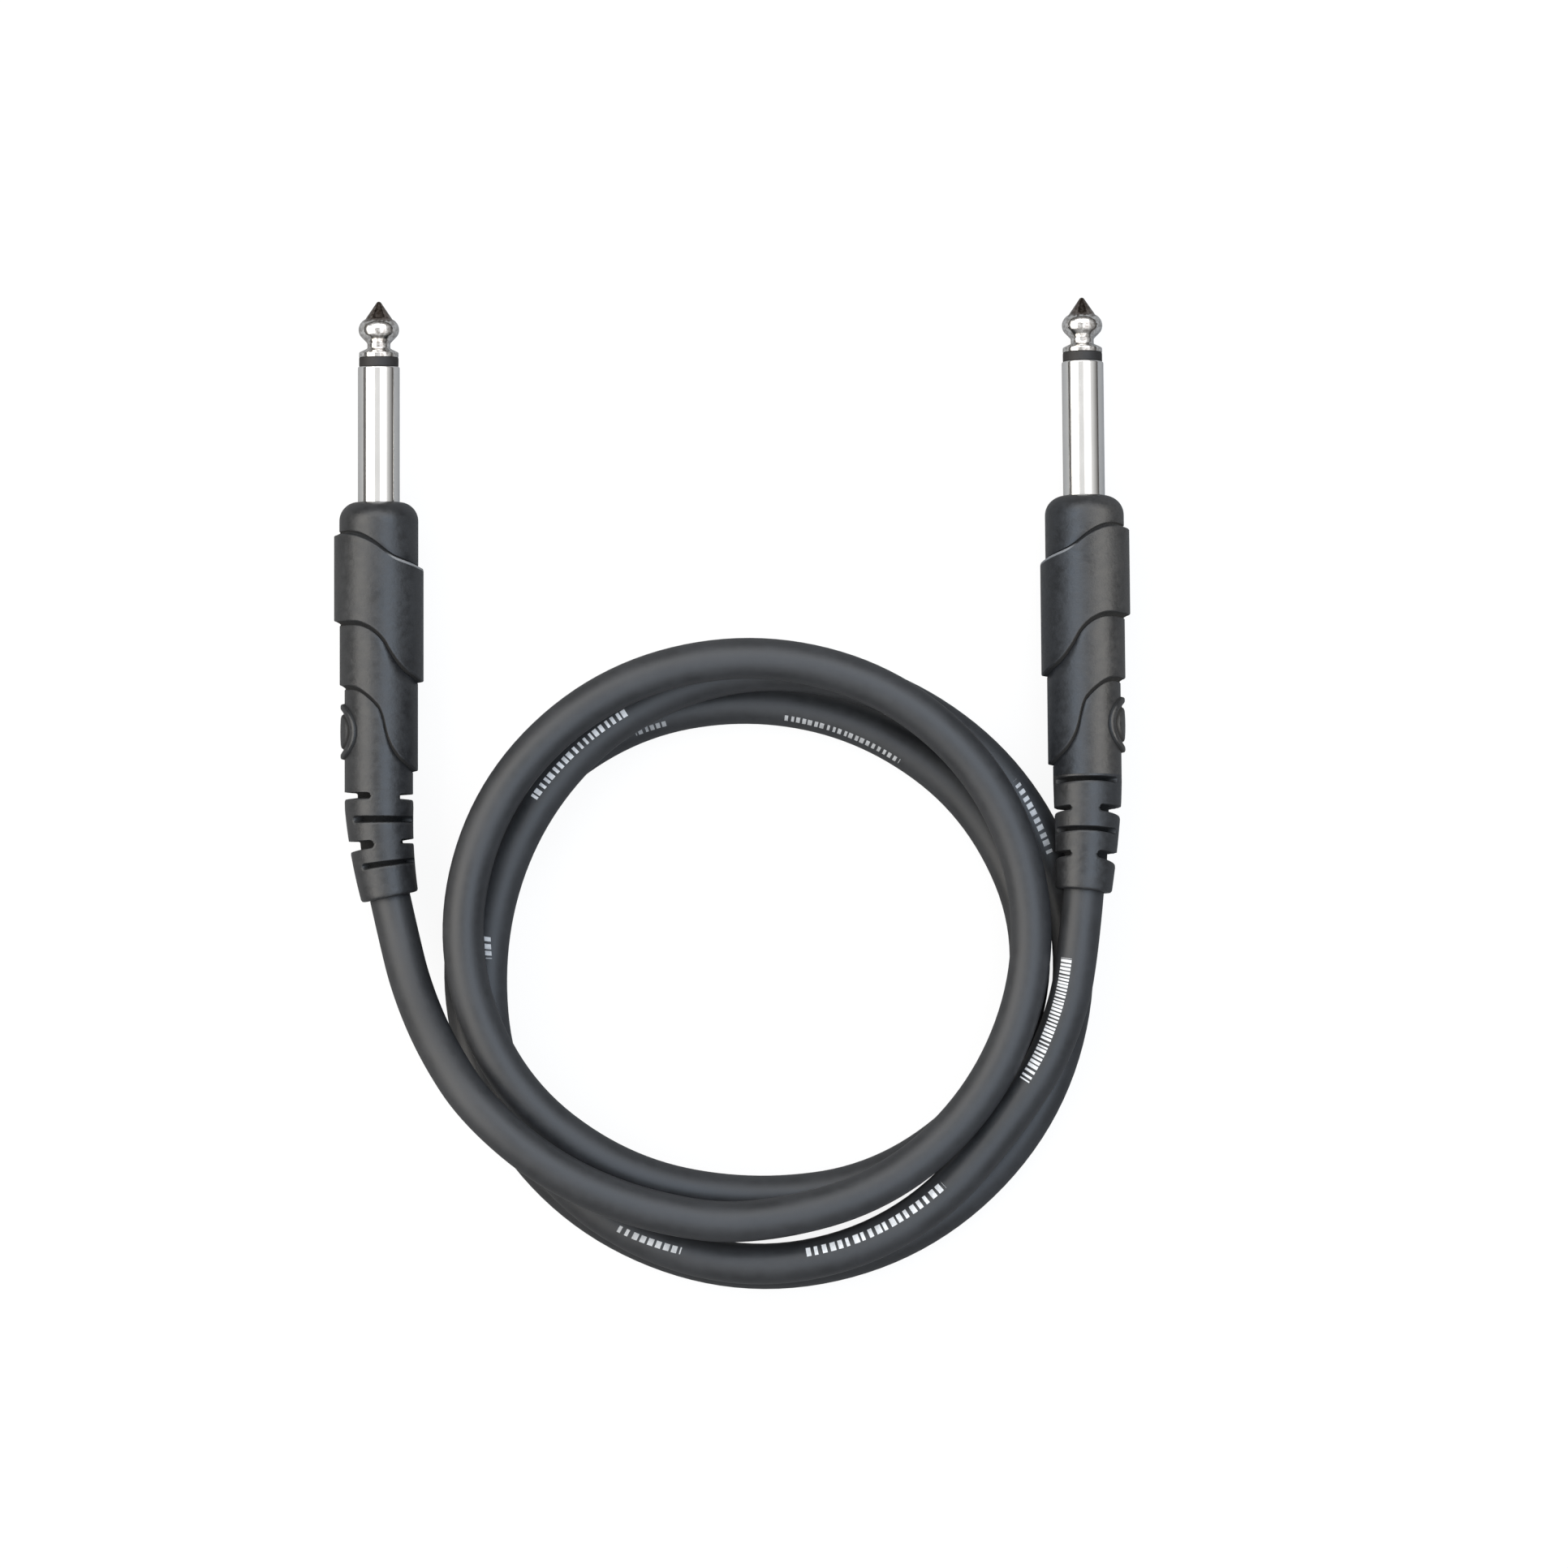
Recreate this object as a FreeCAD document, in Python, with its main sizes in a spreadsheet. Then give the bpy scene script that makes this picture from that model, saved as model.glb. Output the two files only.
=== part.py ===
import FreeCAD, Part
import math
import os
import re
import Sketcher
from FreeCAD import Vector

# Instrument cable: two moulded 6.35 mm phone plugs joined by one coiled jacketed cord.
# Row frame: +X to the right, +Y towards the plugs' tips, +Z up from the table.
# The origin is under the middle of the two plugs, on the table.
# Each plug is drawn in a frame of its own: its axis is Y, its fingers point to +Y,
# and Y = 0 is the front face of the moulded nose, which stops against a socket.

SIZES = [
    # Finger
    ("sleeve_radius", 3.175, "outside of the metal sleeve, the 6.35 mm standard"),
    ("sleeve_exposed", 20.6, "sleeve in front of the nose"),
    ("sleeve_wall", 0.8, "sleeve tube wall"),
    ("sleeve_edge", 0.15, "small chamfer on the sleeve's front edge"),
    ("undercut_radius", 2.95, "sleeve's neck in the nose, which the moulding grips"),
    ("undercut_front", 0.1, "edge of that neck, in front of the nose face"),
    ("ring_radius", 3.0, "visible insulating ring"),
    ("ring_length", 1.4, "visible insulating ring"),
    ("tip_length", 8.5, "tip contact, ring to point"),
    ("apex_round", 0.45, "blunt point"),
    ("apex_blend", 37.0, "angle at which the blunt point meets the cone"),
    ("bead_radius", 3.08, "largest radius of the tip's bead"),
    ("bead_round", 1.75, "radius of the bead's own curve"),
    ("bead_back", 4.3, "bead's largest ring, back from the point"),
    ("bead_front_angle", 65.0, "where the bead meets the front cone"),
    ("bead_rear_angle", 35.0, "where the bead meets the rear cone"),
    ("waist_radius", 1.75, "latch groove behind the bead"),
    ("waist_length", 0.8, "latch groove"),
    ("flange_radius", 3.0, "flange in front of the ring"),
    ("flange_length", 0.75, "flange in front of the ring"),
    ("flange_cone", 0.6, "cone from waist to flange"),
    ("rod_radius", 1.2, "rod that carries the tip through the sleeve"),
    ("fit_gap", 0.03, "radial gap between pressed pieces"),
    ("stem_length", 6.0, "front insulator inside the sleeve"),
    # Pieces inside the moulding
    ("collar_front", 2.0, "nose face to the sleeve's collar"),
    ("collar_length", 2.5, "sleeve's collar"),
    ("collar_radius", 4.6, "sleeve's collar"),
    ("tail_radius", 2.8, "sleeve's riveted tail"),
    ("tail_length", 1.5, "sleeve's riveted tail"),
    ("sheet_thick", 0.5, "sheet metal of both terminals"),
    ("disc_radius", 4.2, "ground terminal's disc"),
    ("washer_radius", 3.0, "rear insulating washer"),
    ("washer_length", 1.0, "rear insulating washer"),
    ("lug_radius", 2.6, "tip terminal's disc"),
    ("lug_width", 2.4, "tip terminal's tongue"),
    ("lug_drop", 2.5, "underside of the tongue's foot, below the axis"),
    ("lug_foot", 2.2, "tongue, flat part behind the disc"),
    ("lug_rise", 1.8, "tongue, length of the joggle"),
    ("lug_tongue", 4.6, "tongue, flat part under the conductor"),
    ("peen_radius", 1.9, "riveted head of the rod"),
    ("peen_length", 0.6, "riveted head of the rod"),
    ("leg_width", 3.4, "ground terminal's leg"),
    ("jacket_start", 21.0, "nose face to the stripped end of the jacket"),
    ("claw_start", 1.0, "jacket end to the cable claws"),
    ("claw_length", 4.0, "cable claws"),
    ("claw_wrap", 300.0, "angle that the claws wrap"),
    ("core_radius", 1.4, "insulated core"),
    ("core_bare", 4.5, "insulated core in front of the jacket"),
    ("conductor_radius", 0.5, "stranded conductor"),
    ("conductor_bare", 5.0, "conductor in front of the core"),
    ("screen_radius", 0.55, "twisted screen"),
    ("screen_bare", 7.0, "twisted screen in front of the jacket"),
    ("solder_radius", 0.95, "solder joint"),
    ("solder_length", 3.0, "solder joint"),
    ("solder_inset", 0.6, "solder joint, back from the wire's end"),
    ("film", 0.06, "solder or moulding between a wire and its terminal"),
    ("block_radius", 4.45, "inner moulded block"),
    ("block_length", 22.0, "inner moulded block"),
    # Outer moulding
    ("nose_radius", 6.0, "nose and rear grip"),
    ("nose_round", 2.9, "rounded shoulder of the nose"),
    ("grip_radius", 6.8, "front grip, the widest band"),
    ("tail_grip_radius", 5.95, "second grip band"),
    ("neck_radius", 5.2, "rear of the housing"),
    ("housing_length", 43.7, "nose face to the strain relief"),
    ("wave1_left", 5.05, "front grip's front edge, left side"),
    ("wave1_right", 10.05, "front grip's front edge, right side"),
    ("wave1_middle", 1.0, "middle of that slope, right of the axis"),
    ("wave1_slope", 33.0, "steepness of that slope"),
    ("wave1_round", 6.0, "radius of its two bends"),
    ("wave2_left", 18.3, "front grip's rear edge, left side"),
    ("wave2_right", 27.5, "front grip's rear edge, right side"),
    ("wave2_middle", 1.5, "middle of that slope, right of the axis"),
    ("wave2_slope", 55.0, "steepness of that slope"),
    ("wave2_round", 4.0, "radius of its two bends"),
    ("wave3_left", 28.0, "second grip's rear edge, left side"),
    ("wave3_right", 41.3, "second grip's rear edge, right side"),
    ("wave3_middle", 1.15, "middle of that slope, right of the axis"),
    ("wave3_slope", 70.0, "steepness of that slope"),
    ("wave3_round", 6.0, "radius of its two bends"),
    ("boss_back", 34.95, "middle of the oval boss"),
    ("boss_long", 4.3, "half length of the oval boss"),
    ("boss_wide", 3.9, "half width of the oval boss"),
    ("boss_reach", 5.85, "boss's flat face, out from the axis"),
    ("boss_rim", 0.7, "rim round the sunk face"),
    ("boss_sink", 0.3, "depth of the sunk face"),
    # Strain relief
    ("relief_length", 16.5, "strain relief along its axis"),
    ("relief_end_radius", 4.2, "strain relief's rear end"),
    ("relief_edge", 0.4, "chamfer on the rear end"),
    ("root_radius", 4.0, "relief's root inside the housing"),
    ("root_length", 5.0, "relief's root inside the housing"),
    ("lock_radius", 4.6, "flange that locks the root in the housing"),
    ("lock_length", 1.2, "flange that locks the root in the housing"),
    ("slot_first", 1.05, "housing to the middle of the first slot"),
    ("slot_pitch", 3.55, "from slot to slot"),
    ("slot_width", 1.05, "slot along the axis"),
    ("slot_half_angle", 62.0, "half the angle that a slot takes"),
    ("slot_skin", 0.25, "skin between a slot and the jacket"),
    ("slot_count", 4, "slots, turned a quarter each time"),
    # Cord
    ("cord_radius", 3.1, "round jacketed cord"),
    ("tail_run", 9.6, "straight run where the cord leaves a relief"),
    # Lie of the two plugs
    ("left_plug_x", -53.7, "left plug's axis at the nose"),
    ("left_plug_y", 14.6, "left plug's nose face"),
    ("left_bend", 11.8, "bend of the left strain relief"),
    ("right_plug_x", 53.6, "right plug's axis at the nose"),
    ("right_plug_y", 15.5, "right plug's nose face"),
    ("right_yaw", 0.5, "right plug's turn on the table"),
    ("right_lean", 4.5, "right plug's nose-down lean over the strand below it"),
    ("right_bend", 5.5, "bend of the right strain relief"),
    # Coil
    ("coil_x", 2.9, "middle of the coil"),
    ("coil_y", -52.6, "middle of the coil"),
]

# The coil, one station for each quarter turn, from the strand that comes from the left plug.
# Anticlockwise from the side away from the plugs: bottom, right, top, left.
# Each pair is the strand's reach from the coil's middle and its height over the table.
COIL_STATIONS = [
    (41.8, 17.2), (42.8, 14.6), (43.8, 16.7), (43.9, 18.8),
    (37.8, 10.8), (42.4, 3.1), (37.6, 3.1), (43.4, 3.1),
    (49.0, 3.1), (49.7, 3.6), (42.0, 9.7), (40.0, 9.9),
    (49.0, 9.9),
]

# Corner points of the left loose stretch, between the relief's end and the coil's first strand.
LEFT_ROUTE = [
    (-48.0, -63.4, 8.9), (-44.1, -73.5, 12.9), (-38.0, -81.6, 15.9),
    (-30.6, -87.8, 17.4), (-21.9, -92.2, 17.7),
]
# Stations of the right loose stretch: a point, and the heading on the table in degrees.
RIGHT_STATIONS = [(37.1, -86.8, 10.0, 52.0), (50.2, -63.6, 11.2, 72.0)]

doc = FreeCAD.newDocument("InstrumentCable")
sheet = doc.addObject("Spreadsheet::Sheet", "Sizes")
for row, (alias, value, note) in enumerate(SIZES, start=1):
    sheet.set("A%d" % row, alias.replace("_", " ") + ": " + note)
    sheet.set("B%d" % row, str(value))
    sheet.setAlias("B%d" % row, alias)
doc.recompute()

ALIASES = {alias for alias, value, note in SIZES}
sub_parts = []


def bound(text):
    """Write an expression with the sheet's name in front of each size."""
    def with_sheet(found):
        word = found.group()
        return "Sizes." + word if word in ALIASES else word
    return re.sub(r"[a-z][a-z0-9_]*", with_sheet, text)


def number(text):
    """The present value of an expression in the sheet's sizes."""
    value = sheet.evalExpression(bound(text))
    return float(getattr(value, "Value", value))


def origin_plane(body, role):
    """One of the body's own three planes."""
    return [item for item in body.Origin.OriginFeatures if item.Role == role][0]


def new_body(name, place):
    """A body that lies where its plug lies."""
    body = doc.addObject("PartDesign::Body", name)
    if place:
        body.setExpression("Placement", bound(place))
    return body


def new_sketch(body, name, role, offset=None):
    sketch = body.newObject("Sketcher::SketchObject", name)
    sketch.AttachmentSupport = [(origin_plane(body, role), "")]
    sketch.MapMode = "FlatFace"
    if offset:
        sketch.setExpression("AttachmentOffset", bound(offset))
    return sketch


def arc_between(start, end, radius, side):
    """The short arc from start to end whose middle bulges to that side (1 is left, -1 right)."""
    chord = end - start
    half = chord.Length / 2
    left = Vector(-chord.y, chord.x, 0).normalize()
    sagitta = radius - math.sqrt(max(radius * radius - half * half, 0.0))
    middle = (start + end) / 2 + left * side * sagitta
    return Part.Arc(start, middle, end)


def draw_outline(sketch, corners):
    """
    Close an outline through corners given as two expressions each.
    A third and fourth entry make the stretch to the next corner an arc: its radius and side.
    """
    count = len(corners)
    base = len(sketch.Geometry)
    points = [Vector(number(corner[0]), number(corner[1]), 0) for corner in corners]
    for index, corner in enumerate(corners):
        start, end = points[index], points[(index + 1) % count]
        if len(corner) == 4:
            sketch.addGeometry(arc_between(start, end, number(corner[2]), corner[3]), False)
        else:
            sketch.addGeometry(Part.LineSegment(start, end), False)
    ends = []
    for index, corner in enumerate(corners):
        forward = True
        if len(corner) == 4:
            first = sketch.getPoint(base + index, 1)
            onward = points[(index + 1) % count]
            forward = first.distanceToPoint(points[index]) < first.distanceToPoint(onward)
        ends.append((1, 2) if forward else (2, 1))
    for index in range(count):
        after = (index + 1) % count
        sketch.addConstraint(Sketcher.Constraint("Coincident", base + index, ends[index][1],
                                                 base + after, ends[after][0]))
    for index, corner in enumerate(corners):
        for way, text in (("X", corner[0]), ("Y", corner[1])):
            pin_corner(sketch, base + index, ends[index][0], way, text)
        if len(corner) == 4:
            name = "round%d" % (base + index)
            item = sketch.addConstraint(Sketcher.Constraint("Radius", base + index, number(corner[2])))
            sketch.renameConstraint(item, name)
            sketch.setExpression("Constraints." + name, bound(corner[2]))


def pin_corner(sketch, edge, end, way, text):
    """Hold one coordinate of a corner to its expression, or to the sketch's axis if it is 0."""
    if text == "0":
        sketch.addConstraint(Sketcher.Constraint("PointOnObject", edge, end, -2 if way == "X" else -1))
        return
    name = "%s%d" % (way.lower(), edge)
    item = sketch.addConstraint(Sketcher.Constraint("Distance" + way, -1, 1, edge, end, number(text)))
    sketch.renameConstraint(item, name)
    sketch.setExpression("Constraints." + name, bound(text))


def turned(name, place, corners):
    """A piece turned about the plug's axis: corners are radius and place along the axis."""
    body = new_body(name, place)
    sketch = new_sketch(body, name + "_profile", "XY_Plane")
    draw_outline(sketch, corners)
    turn = body.newObject("PartDesign::Revolution", name + "_turn")
    turn.Profile = sketch
    turn.ReferenceAxis = (sketch, ["V_Axis"])
    turn.Angle = 360
    sketch.Visibility = False
    return body


def add_round(body, kind, name, radius, rear, length, height="0", wrap="360"):
    """Add or take away a cylinder along the plug's axis, from its rear end forward; a gap faces up."""
    piece = body.newObject("PartDesign::" + kind + "Cylinder", name)
    lie = "placement(vector(0; %s; %s); rotation(0; 90 - %s / 2; -90))" % (rear, height, wrap)
    piece.setExpression("Placement", bound(lie))
    piece.setExpression("Radius", bound(radius))
    piece.setExpression("Height", bound(length))
    piece.setExpression("Angle", bound(wrap))
    return piece


def rod_piece(name, place, radius, rear, length, height="0"):
    """A plain round piece along the plug's axis, or beside it at a height."""
    body = new_body(name, place)
    add_round(body, "Additive", name + "_rod", radius, rear, length, height)
    return body


def pad_across(body, name, corners, width):
    """A sheet metal strip: its side view, drawn in Y and Z, made as wide as the strip."""
    sketch = new_sketch(body, name + "_side_view", "YZ_Plane")
    draw_outline(sketch, corners)
    pad = body.newObject("PartDesign::Pad", name + "_strip")
    pad.Profile = sketch
    pad.Midplane = True
    pad.setExpression("Length", bound(width))
    sketch.Visibility = False
    return pad


def joined(name, pieces):
    fuse = doc.addObject("Part::MultiFuse", name)
    fuse.Shapes = pieces
    return fuse


def cut_from(name, base, tools):
    """What is left of the base round the pieces that it is moulded or soldered on, cut one by one."""
    for index, tool in enumerate(tools, start=1):
        cut = doc.addObject("Part::Cut", "%s_%d" % (name, index))
        cut.Base = base
        cut.Tool = tool
        base = cut
    return base


def keep(item, label):
    """Give a finished piece its label, and put it on the list that is written."""
    item.Label = label
    sub_parts.append(item)
    return item


# Places along the plug's axis that several pieces share
RING_FRONT = "(sleeve_exposed + ring_length)"
APEX = "(sleeve_exposed + ring_length + tip_length)"
BORE = "(sleeve_radius - sleeve_wall)"
COLLAR_REAR = "(-collar_front - collar_length)"
TAIL_REAR = "(-collar_front - collar_length - tail_length)"
LUG_FRONT = "(-collar_front - collar_length - tail_length - washer_length)"
LUG_REAR = "(-collar_front - collar_length - tail_length - washer_length - sheet_thick)"
LEG_REAR = "(-jacket_start - claw_start - claw_length)"
BLOCK_REAR = "(-collar_front - collar_length - block_length)"
TONGUE_TOP = "(-conductor_radius - film)"
LEG_TOP = "(-cord_radius - film)"
SCREEN_AXIS = "(-cord_radius + film + screen_radius)"


def tip_contact(side, place):
    """The turned tip with its bead, waist and flange, and the rod riveted behind the washer."""
    bead_x = "(bead_radius - bead_round)"
    bead_y = "(%s - bead_back)" % APEX
    corners = [
        ("0", APEX, "apex_round", 1),
        ("apex_round * cos(apex_blend)", APEX + " - apex_round * (1 - sin(apex_blend))"),
        (bead_x + " + bead_round * cos(bead_front_angle)", bead_y + " + bead_round * sin(bead_front_angle)",
         "bead_round", 1),
        (bead_x + " + bead_round * cos(bead_rear_angle)", bead_y + " - bead_round * sin(bead_rear_angle)"),
        ("waist_radius", RING_FRONT + " + flange_length + flange_cone + waist_length"),
        ("waist_radius", RING_FRONT + " + flange_length + flange_cone"),
        ("flange_radius", RING_FRONT + " + flange_length"),
        ("flange_radius", RING_FRONT),
        ("rod_radius", RING_FRONT),
        ("rod_radius", LUG_REAR),
        ("peen_radius", LUG_REAR),
        ("peen_radius", LUG_REAR + " - peen_length"),
        ("0", LUG_REAR + " - peen_length"),
    ]
    return turned(side + "_tip", place, corners)


def sleeve(side, place):
    """The sleeve tube with the neck and collar that hold it in the moulding, and its riveted tail."""
    corners = [
        (BORE, "sleeve_exposed"),
        ("sleeve_radius - sleeve_edge", "sleeve_exposed"),
        ("sleeve_radius", "sleeve_exposed - sleeve_edge"),
        ("sleeve_radius", "undercut_front"),
        ("undercut_radius", "undercut_front"),
        ("undercut_radius", "-collar_front"),
        ("collar_radius", "-collar_front"),
        ("collar_radius", COLLAR_REAR),
        ("tail_radius", COLLAR_REAR),
        ("tail_radius", TAIL_REAR),
        (BORE, TAIL_REAR),
    ]
    return turned(side + "_sleeve", place, corners)


def front_insulator(side, place):
    """The dark ring between tip and sleeve, with the stem that centres the rod."""
    corners = [
        ("rod_radius + fit_gap", RING_FRONT),
        ("ring_radius", RING_FRONT),
        ("ring_radius", "sleeve_exposed"),
        (BORE + " - fit_gap", "sleeve_exposed"),
        (BORE + " - fit_gap", "sleeve_exposed - stem_length"),
        ("rod_radius + fit_gap", "sleeve_exposed - stem_length"),
    ]
    return turned(side + "_ring", place, corners)


def tube_piece(name, place, inner, outer, front, rear):
    corners = [(inner, front), (outer, front), (outer, rear), (inner, rear)]
    return turned(name, place, corners)


def tip_terminal(side, place):
    """The tip's solder lug: a disc under the rod's head and a joggled tongue."""
    body = new_body(side + "_lug", place)
    add_round(body, "Additive", side + "_lug_disc", "lug_radius", LUG_REAR, "sheet_thick")
    foot_end = "(%s - lug_foot)" % LUG_FRONT
    rise_end = "(%s - lug_foot - lug_rise)" % LUG_FRONT
    tongue_end = "(%s - lug_foot - lug_rise - lug_tongue)" % LUG_FRONT
    corners = [
        (LUG_FRONT, "-lug_drop"),
        (foot_end, "-lug_drop"),
        (rise_end, TONGUE_TOP + " - sheet_thick"),
        (tongue_end, TONGUE_TOP + " - sheet_thick"),
        (tongue_end, TONGUE_TOP),
        (rise_end, TONGUE_TOP),
        (foot_end, "-lug_drop + sheet_thick"),
        (LUG_FRONT, "-lug_drop + sheet_thick"),
    ]
    pad_across(body, side + "_lug", corners, "lug_width")
    add_round(body, "Subtractive", side + "_lug_hole", "rod_radius + fit_gap", LUG_REAR, "sheet_thick")
    return body


def ground_terminal(side, place):
    """The ground terminal: a disc on the sleeve's tail, a long leg and the claws round the jacket."""
    body = new_body(side + "_ground", place)
    disc_rear = COLLAR_REAR + " - sheet_thick"
    add_round(body, "Additive", side + "_disc", "disc_radius", disc_rear, "sheet_thick")
    corners = [
        (COLLAR_REAR, LEG_TOP + " - sheet_thick"),
        (LEG_REAR, LEG_TOP + " - sheet_thick"),
        (LEG_REAR, LEG_TOP),
        (COLLAR_REAR, LEG_TOP),
    ]
    pad_across(body, side + "_leg", corners, "leg_width")
    add_round(body, "Subtractive", side + "_disc_hole", "tail_radius + fit_gap", disc_rear, "sheet_thick")
    add_round(body, "Additive", side + "_claws", "cord_radius + sheet_thick", LEG_REAR, "claw_length",
              wrap="claw_wrap")
    add_round(body, "Subtractive", side + "_claw_bore", "cord_radius", LEG_REAR, "claw_length")
    return body


def relief_radius_of_bend(side):
    return "(relief_length * 180 / pi / %s_bend)" % side


def station_offset(side, travel):
    """Where a cross-section lies in the XZ plane's frame, after some travel along the bent axis."""
    bend = relief_radius_of_bend(side)
    turn = "(%s_bend * (%s) / relief_length)" % (side, travel)
    place = "vector(%s * (1 - cos(%s)); 0; housing_length + %s * sin(%s))" % (bend, turn, bend, turn)
    return "placement(%s; rotation(vector(0; 1; 0); %s))" % (place, turn)


def circle_section(body, name, side, travel, radius):
    sketch = new_sketch(body, name, "XZ_Plane", station_offset(side, travel))
    sketch.addGeometry(Part.Circle(Vector(0, 0, 0), Vector(0, 0, 1), number(radius)), False)
    sketch.addConstraint(Sketcher.Constraint("Coincident", 0, 3, -1, 1))
    item = sketch.addConstraint(Sketcher.Constraint("Radius", 0, number(radius)))
    sketch.renameConstraint(item, "size")
    sketch.setExpression("Constraints.size", bound(radius))
    sketch.Visibility = False
    return sketch


def relief_slot(body, name, side, index, across):
    """Two opposite sectors cut down to a skin over the jacket, across X or across Z."""
    travel = "slot_first + %d * slot_pitch" % index
    sketch = new_sketch(body, name, "XZ_Plane", station_offset(side, travel))
    floor = "(cord_radius + slot_skin)"
    rim = "(neck_radius * 3)"
    low, high = "cos(slot_half_angle)", "sin(slot_half_angle)"
    for sign, bulge in (("", -1), ("-", 1)):
        corners = []
        for reach, other in ((floor, "-"), (rim, "-"), (rim, ""), (floor, "")):
            along = "%s%s * %s" % (sign, reach, low)
            aside = "%s%s * %s" % (other, reach, high)
            corners.append((along, aside) if across == "x" else (aside, along))
        side_of_arc = bulge if across == "x" else -bulge
        corners[3] = corners[3] + (floor, -side_of_arc * 1)
        draw_outline(sketch, corners)
    pocket = body.newObject("PartDesign::Pocket", name + "_cut")
    pocket.Profile = sketch
    pocket.Midplane = True
    pocket.setExpression("Length", bound("slot_width"))
    sketch.Visibility = False
    return pocket


def add_bend(body, kind, name, side, radius):
    """A round bar or bore that follows the relief's bend."""
    bend = body.newObject("PartDesign::" + kind + "Torus", name)
    bend.Placement = FreeCAD.Placement(Vector(0, 0, 0), FreeCAD.Rotation(Vector(0, 0, 1), 180))
    bend.setExpression("Placement.Base.x", bound(relief_radius_of_bend(side)))
    bend.setExpression("Placement.Base.y", bound("-housing_length"))
    bend.setExpression("Radius1", bound(relief_radius_of_bend(side)))
    bend.setExpression("Radius2", bound(radius))
    bend.setExpression("Angle3", bound("%s_bend" % side))
    return bend


def strain_relief(side, place, first_across):
    """The bent, tapered and slotted relief, with the root that the housing is moulded on."""
    body = new_body(side + "_flex", place)
    start = circle_section(body, side + "_flex_start", side, "0", "neck_radius")
    long = "(relief_length - relief_edge)"
    narrowing = "(neck_radius - relief_end_radius)"
    sections = []
    for part in (1, 2, 3):
        travel = "%s * %d / 3" % (long, part)
        radius = "neck_radius - %s * %d / 3" % (narrowing, part)
        sections.append(circle_section(body, "%s_flex_%d" % (side, part), side, travel, radius))
    loft = body.newObject("PartDesign::AdditiveLoft", side + "_flex_taper")
    loft.Profile = start
    loft.Sections = [(section, [""]) for section in sections]
    rim = circle_section(body, side + "_flex_rim", side, long, "relief_end_radius")
    lip = circle_section(body, side + "_flex_lip", side, "relief_length", "relief_end_radius - relief_edge")
    edge = body.newObject("PartDesign::AdditiveLoft", side + "_flex_edge")
    edge.Profile = rim
    edge.Sections = [(lip, [""])]
    add_round(body, "Additive", side + "_root", "root_radius", "-housing_length", "root_length")
    add_round(body, "Additive", side + "_lock", "lock_radius", "-housing_length + root_length - lock_length",
              "lock_length")
    for index in range(int(number("slot_count"))):
        other = "z" if first_across == "x" else "x"
        across = first_across if index % 2 == 0 else other
        relief_slot(body, "%s_slot_%d" % (side, index + 1), side, index, across)
    add_round(body, "Subtractive", side + "_root_bore", "cord_radius", "-housing_length", "root_length")
    add_bend(body, "Subtractive", side + "_flex_bore", side, "cord_radius")
    return body


def cable_end(side, place):
    """The jacket inside the plug, from its stripped end to the relief's rear end."""
    body = new_body(side + "_jacket", place)
    add_round(body, "Additive", side + "_jacket_straight", "cord_radius", "-housing_length",
              "housing_length - jacket_start")
    add_bend(body, "Additive", side + "_jacket_bend", side, "cord_radius")
    return body


def wave(number_text):
    """
    The S-shaped edge of a grip band as seen from above, from the left side to the right:
    two arcs of one radius with a straight slope between them.
    """
    w = "wave%s_" % number_text
    drop = "(%sright - %sleft)" % (w, w)
    lean = "(2 * %sround * sin(%sslope) + (%s - 2 * %sround * (1 - cos(%sslope))) / tan(%sslope))" % (
        w, w, drop, w, w, w)
    start = "(%smiddle - %s / 2)" % (w, lean)
    end = "(%smiddle + %s / 2)" % (w, lean)
    bow = "%sround * sin(%sslope)" % (w, w)
    sink = "%sround * (1 - cos(%sslope))" % (w, w)
    return [
        (start, "-%sleft" % w, w + "round", 1),
        (start + " + " + bow, "-%sleft - %s" % (w, sink)),
        (end + " - " + bow, "-%sright + %s" % (w, sink), w + "round", -1),
        (end, "-%sright" % w),
    ]


def reversed_outline(corners):
    """The same stretch drawn the other way: arcs keep their shape and change sides."""
    points = [corner[:2] for corner in corners]
    arcs = [corner[2:] for corner in corners]
    turned_round = []
    for index in range(len(points) - 1, -1, -1):
        arc = arcs[index - 1] if index > 0 else ()
        turned_round.append(points[index] + ((arc[0], -arc[1]) if arc else ()))
    return turned_round


def grip_band(name, place, front, rear, radius):
    """A band of the grip: a plate with wavy ends, turned down to a round."""
    body = new_body(name, place)
    sketch = new_sketch(body, name + "_plan", "XY_Plane")
    wide = "(grip_radius * 2)"
    draw_outline(sketch, [("-" + wide, front[0][1])] + front + [(wide, front[-1][1])]
                 + [(wide, rear[-1][1])] + reversed_outline(rear) + [("-" + wide, rear[0][1])])
    pad = body.newObject("PartDesign::Pad", name + "_plate")
    pad.Profile = sketch
    pad.Midplane = True
    pad.setExpression("Length", bound("grip_radius * 4"))
    ring = new_sketch(body, name + "_turning", "XY_Plane")
    draw_outline(ring, [(radius, "1"), ("grip_radius * 4", "1"), ("grip_radius * 4", "-housing_length - 1"),
                        (radius, "-housing_length - 1")])
    groove = body.newObject("PartDesign::Groove", name + "_turned")
    groove.Profile = ring
    groove.ReferenceAxis = (ring, ["V_Axis"])
    groove.Angle = 360
    sketch.Visibility = False
    ring.Visibility = False
    return body


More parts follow.
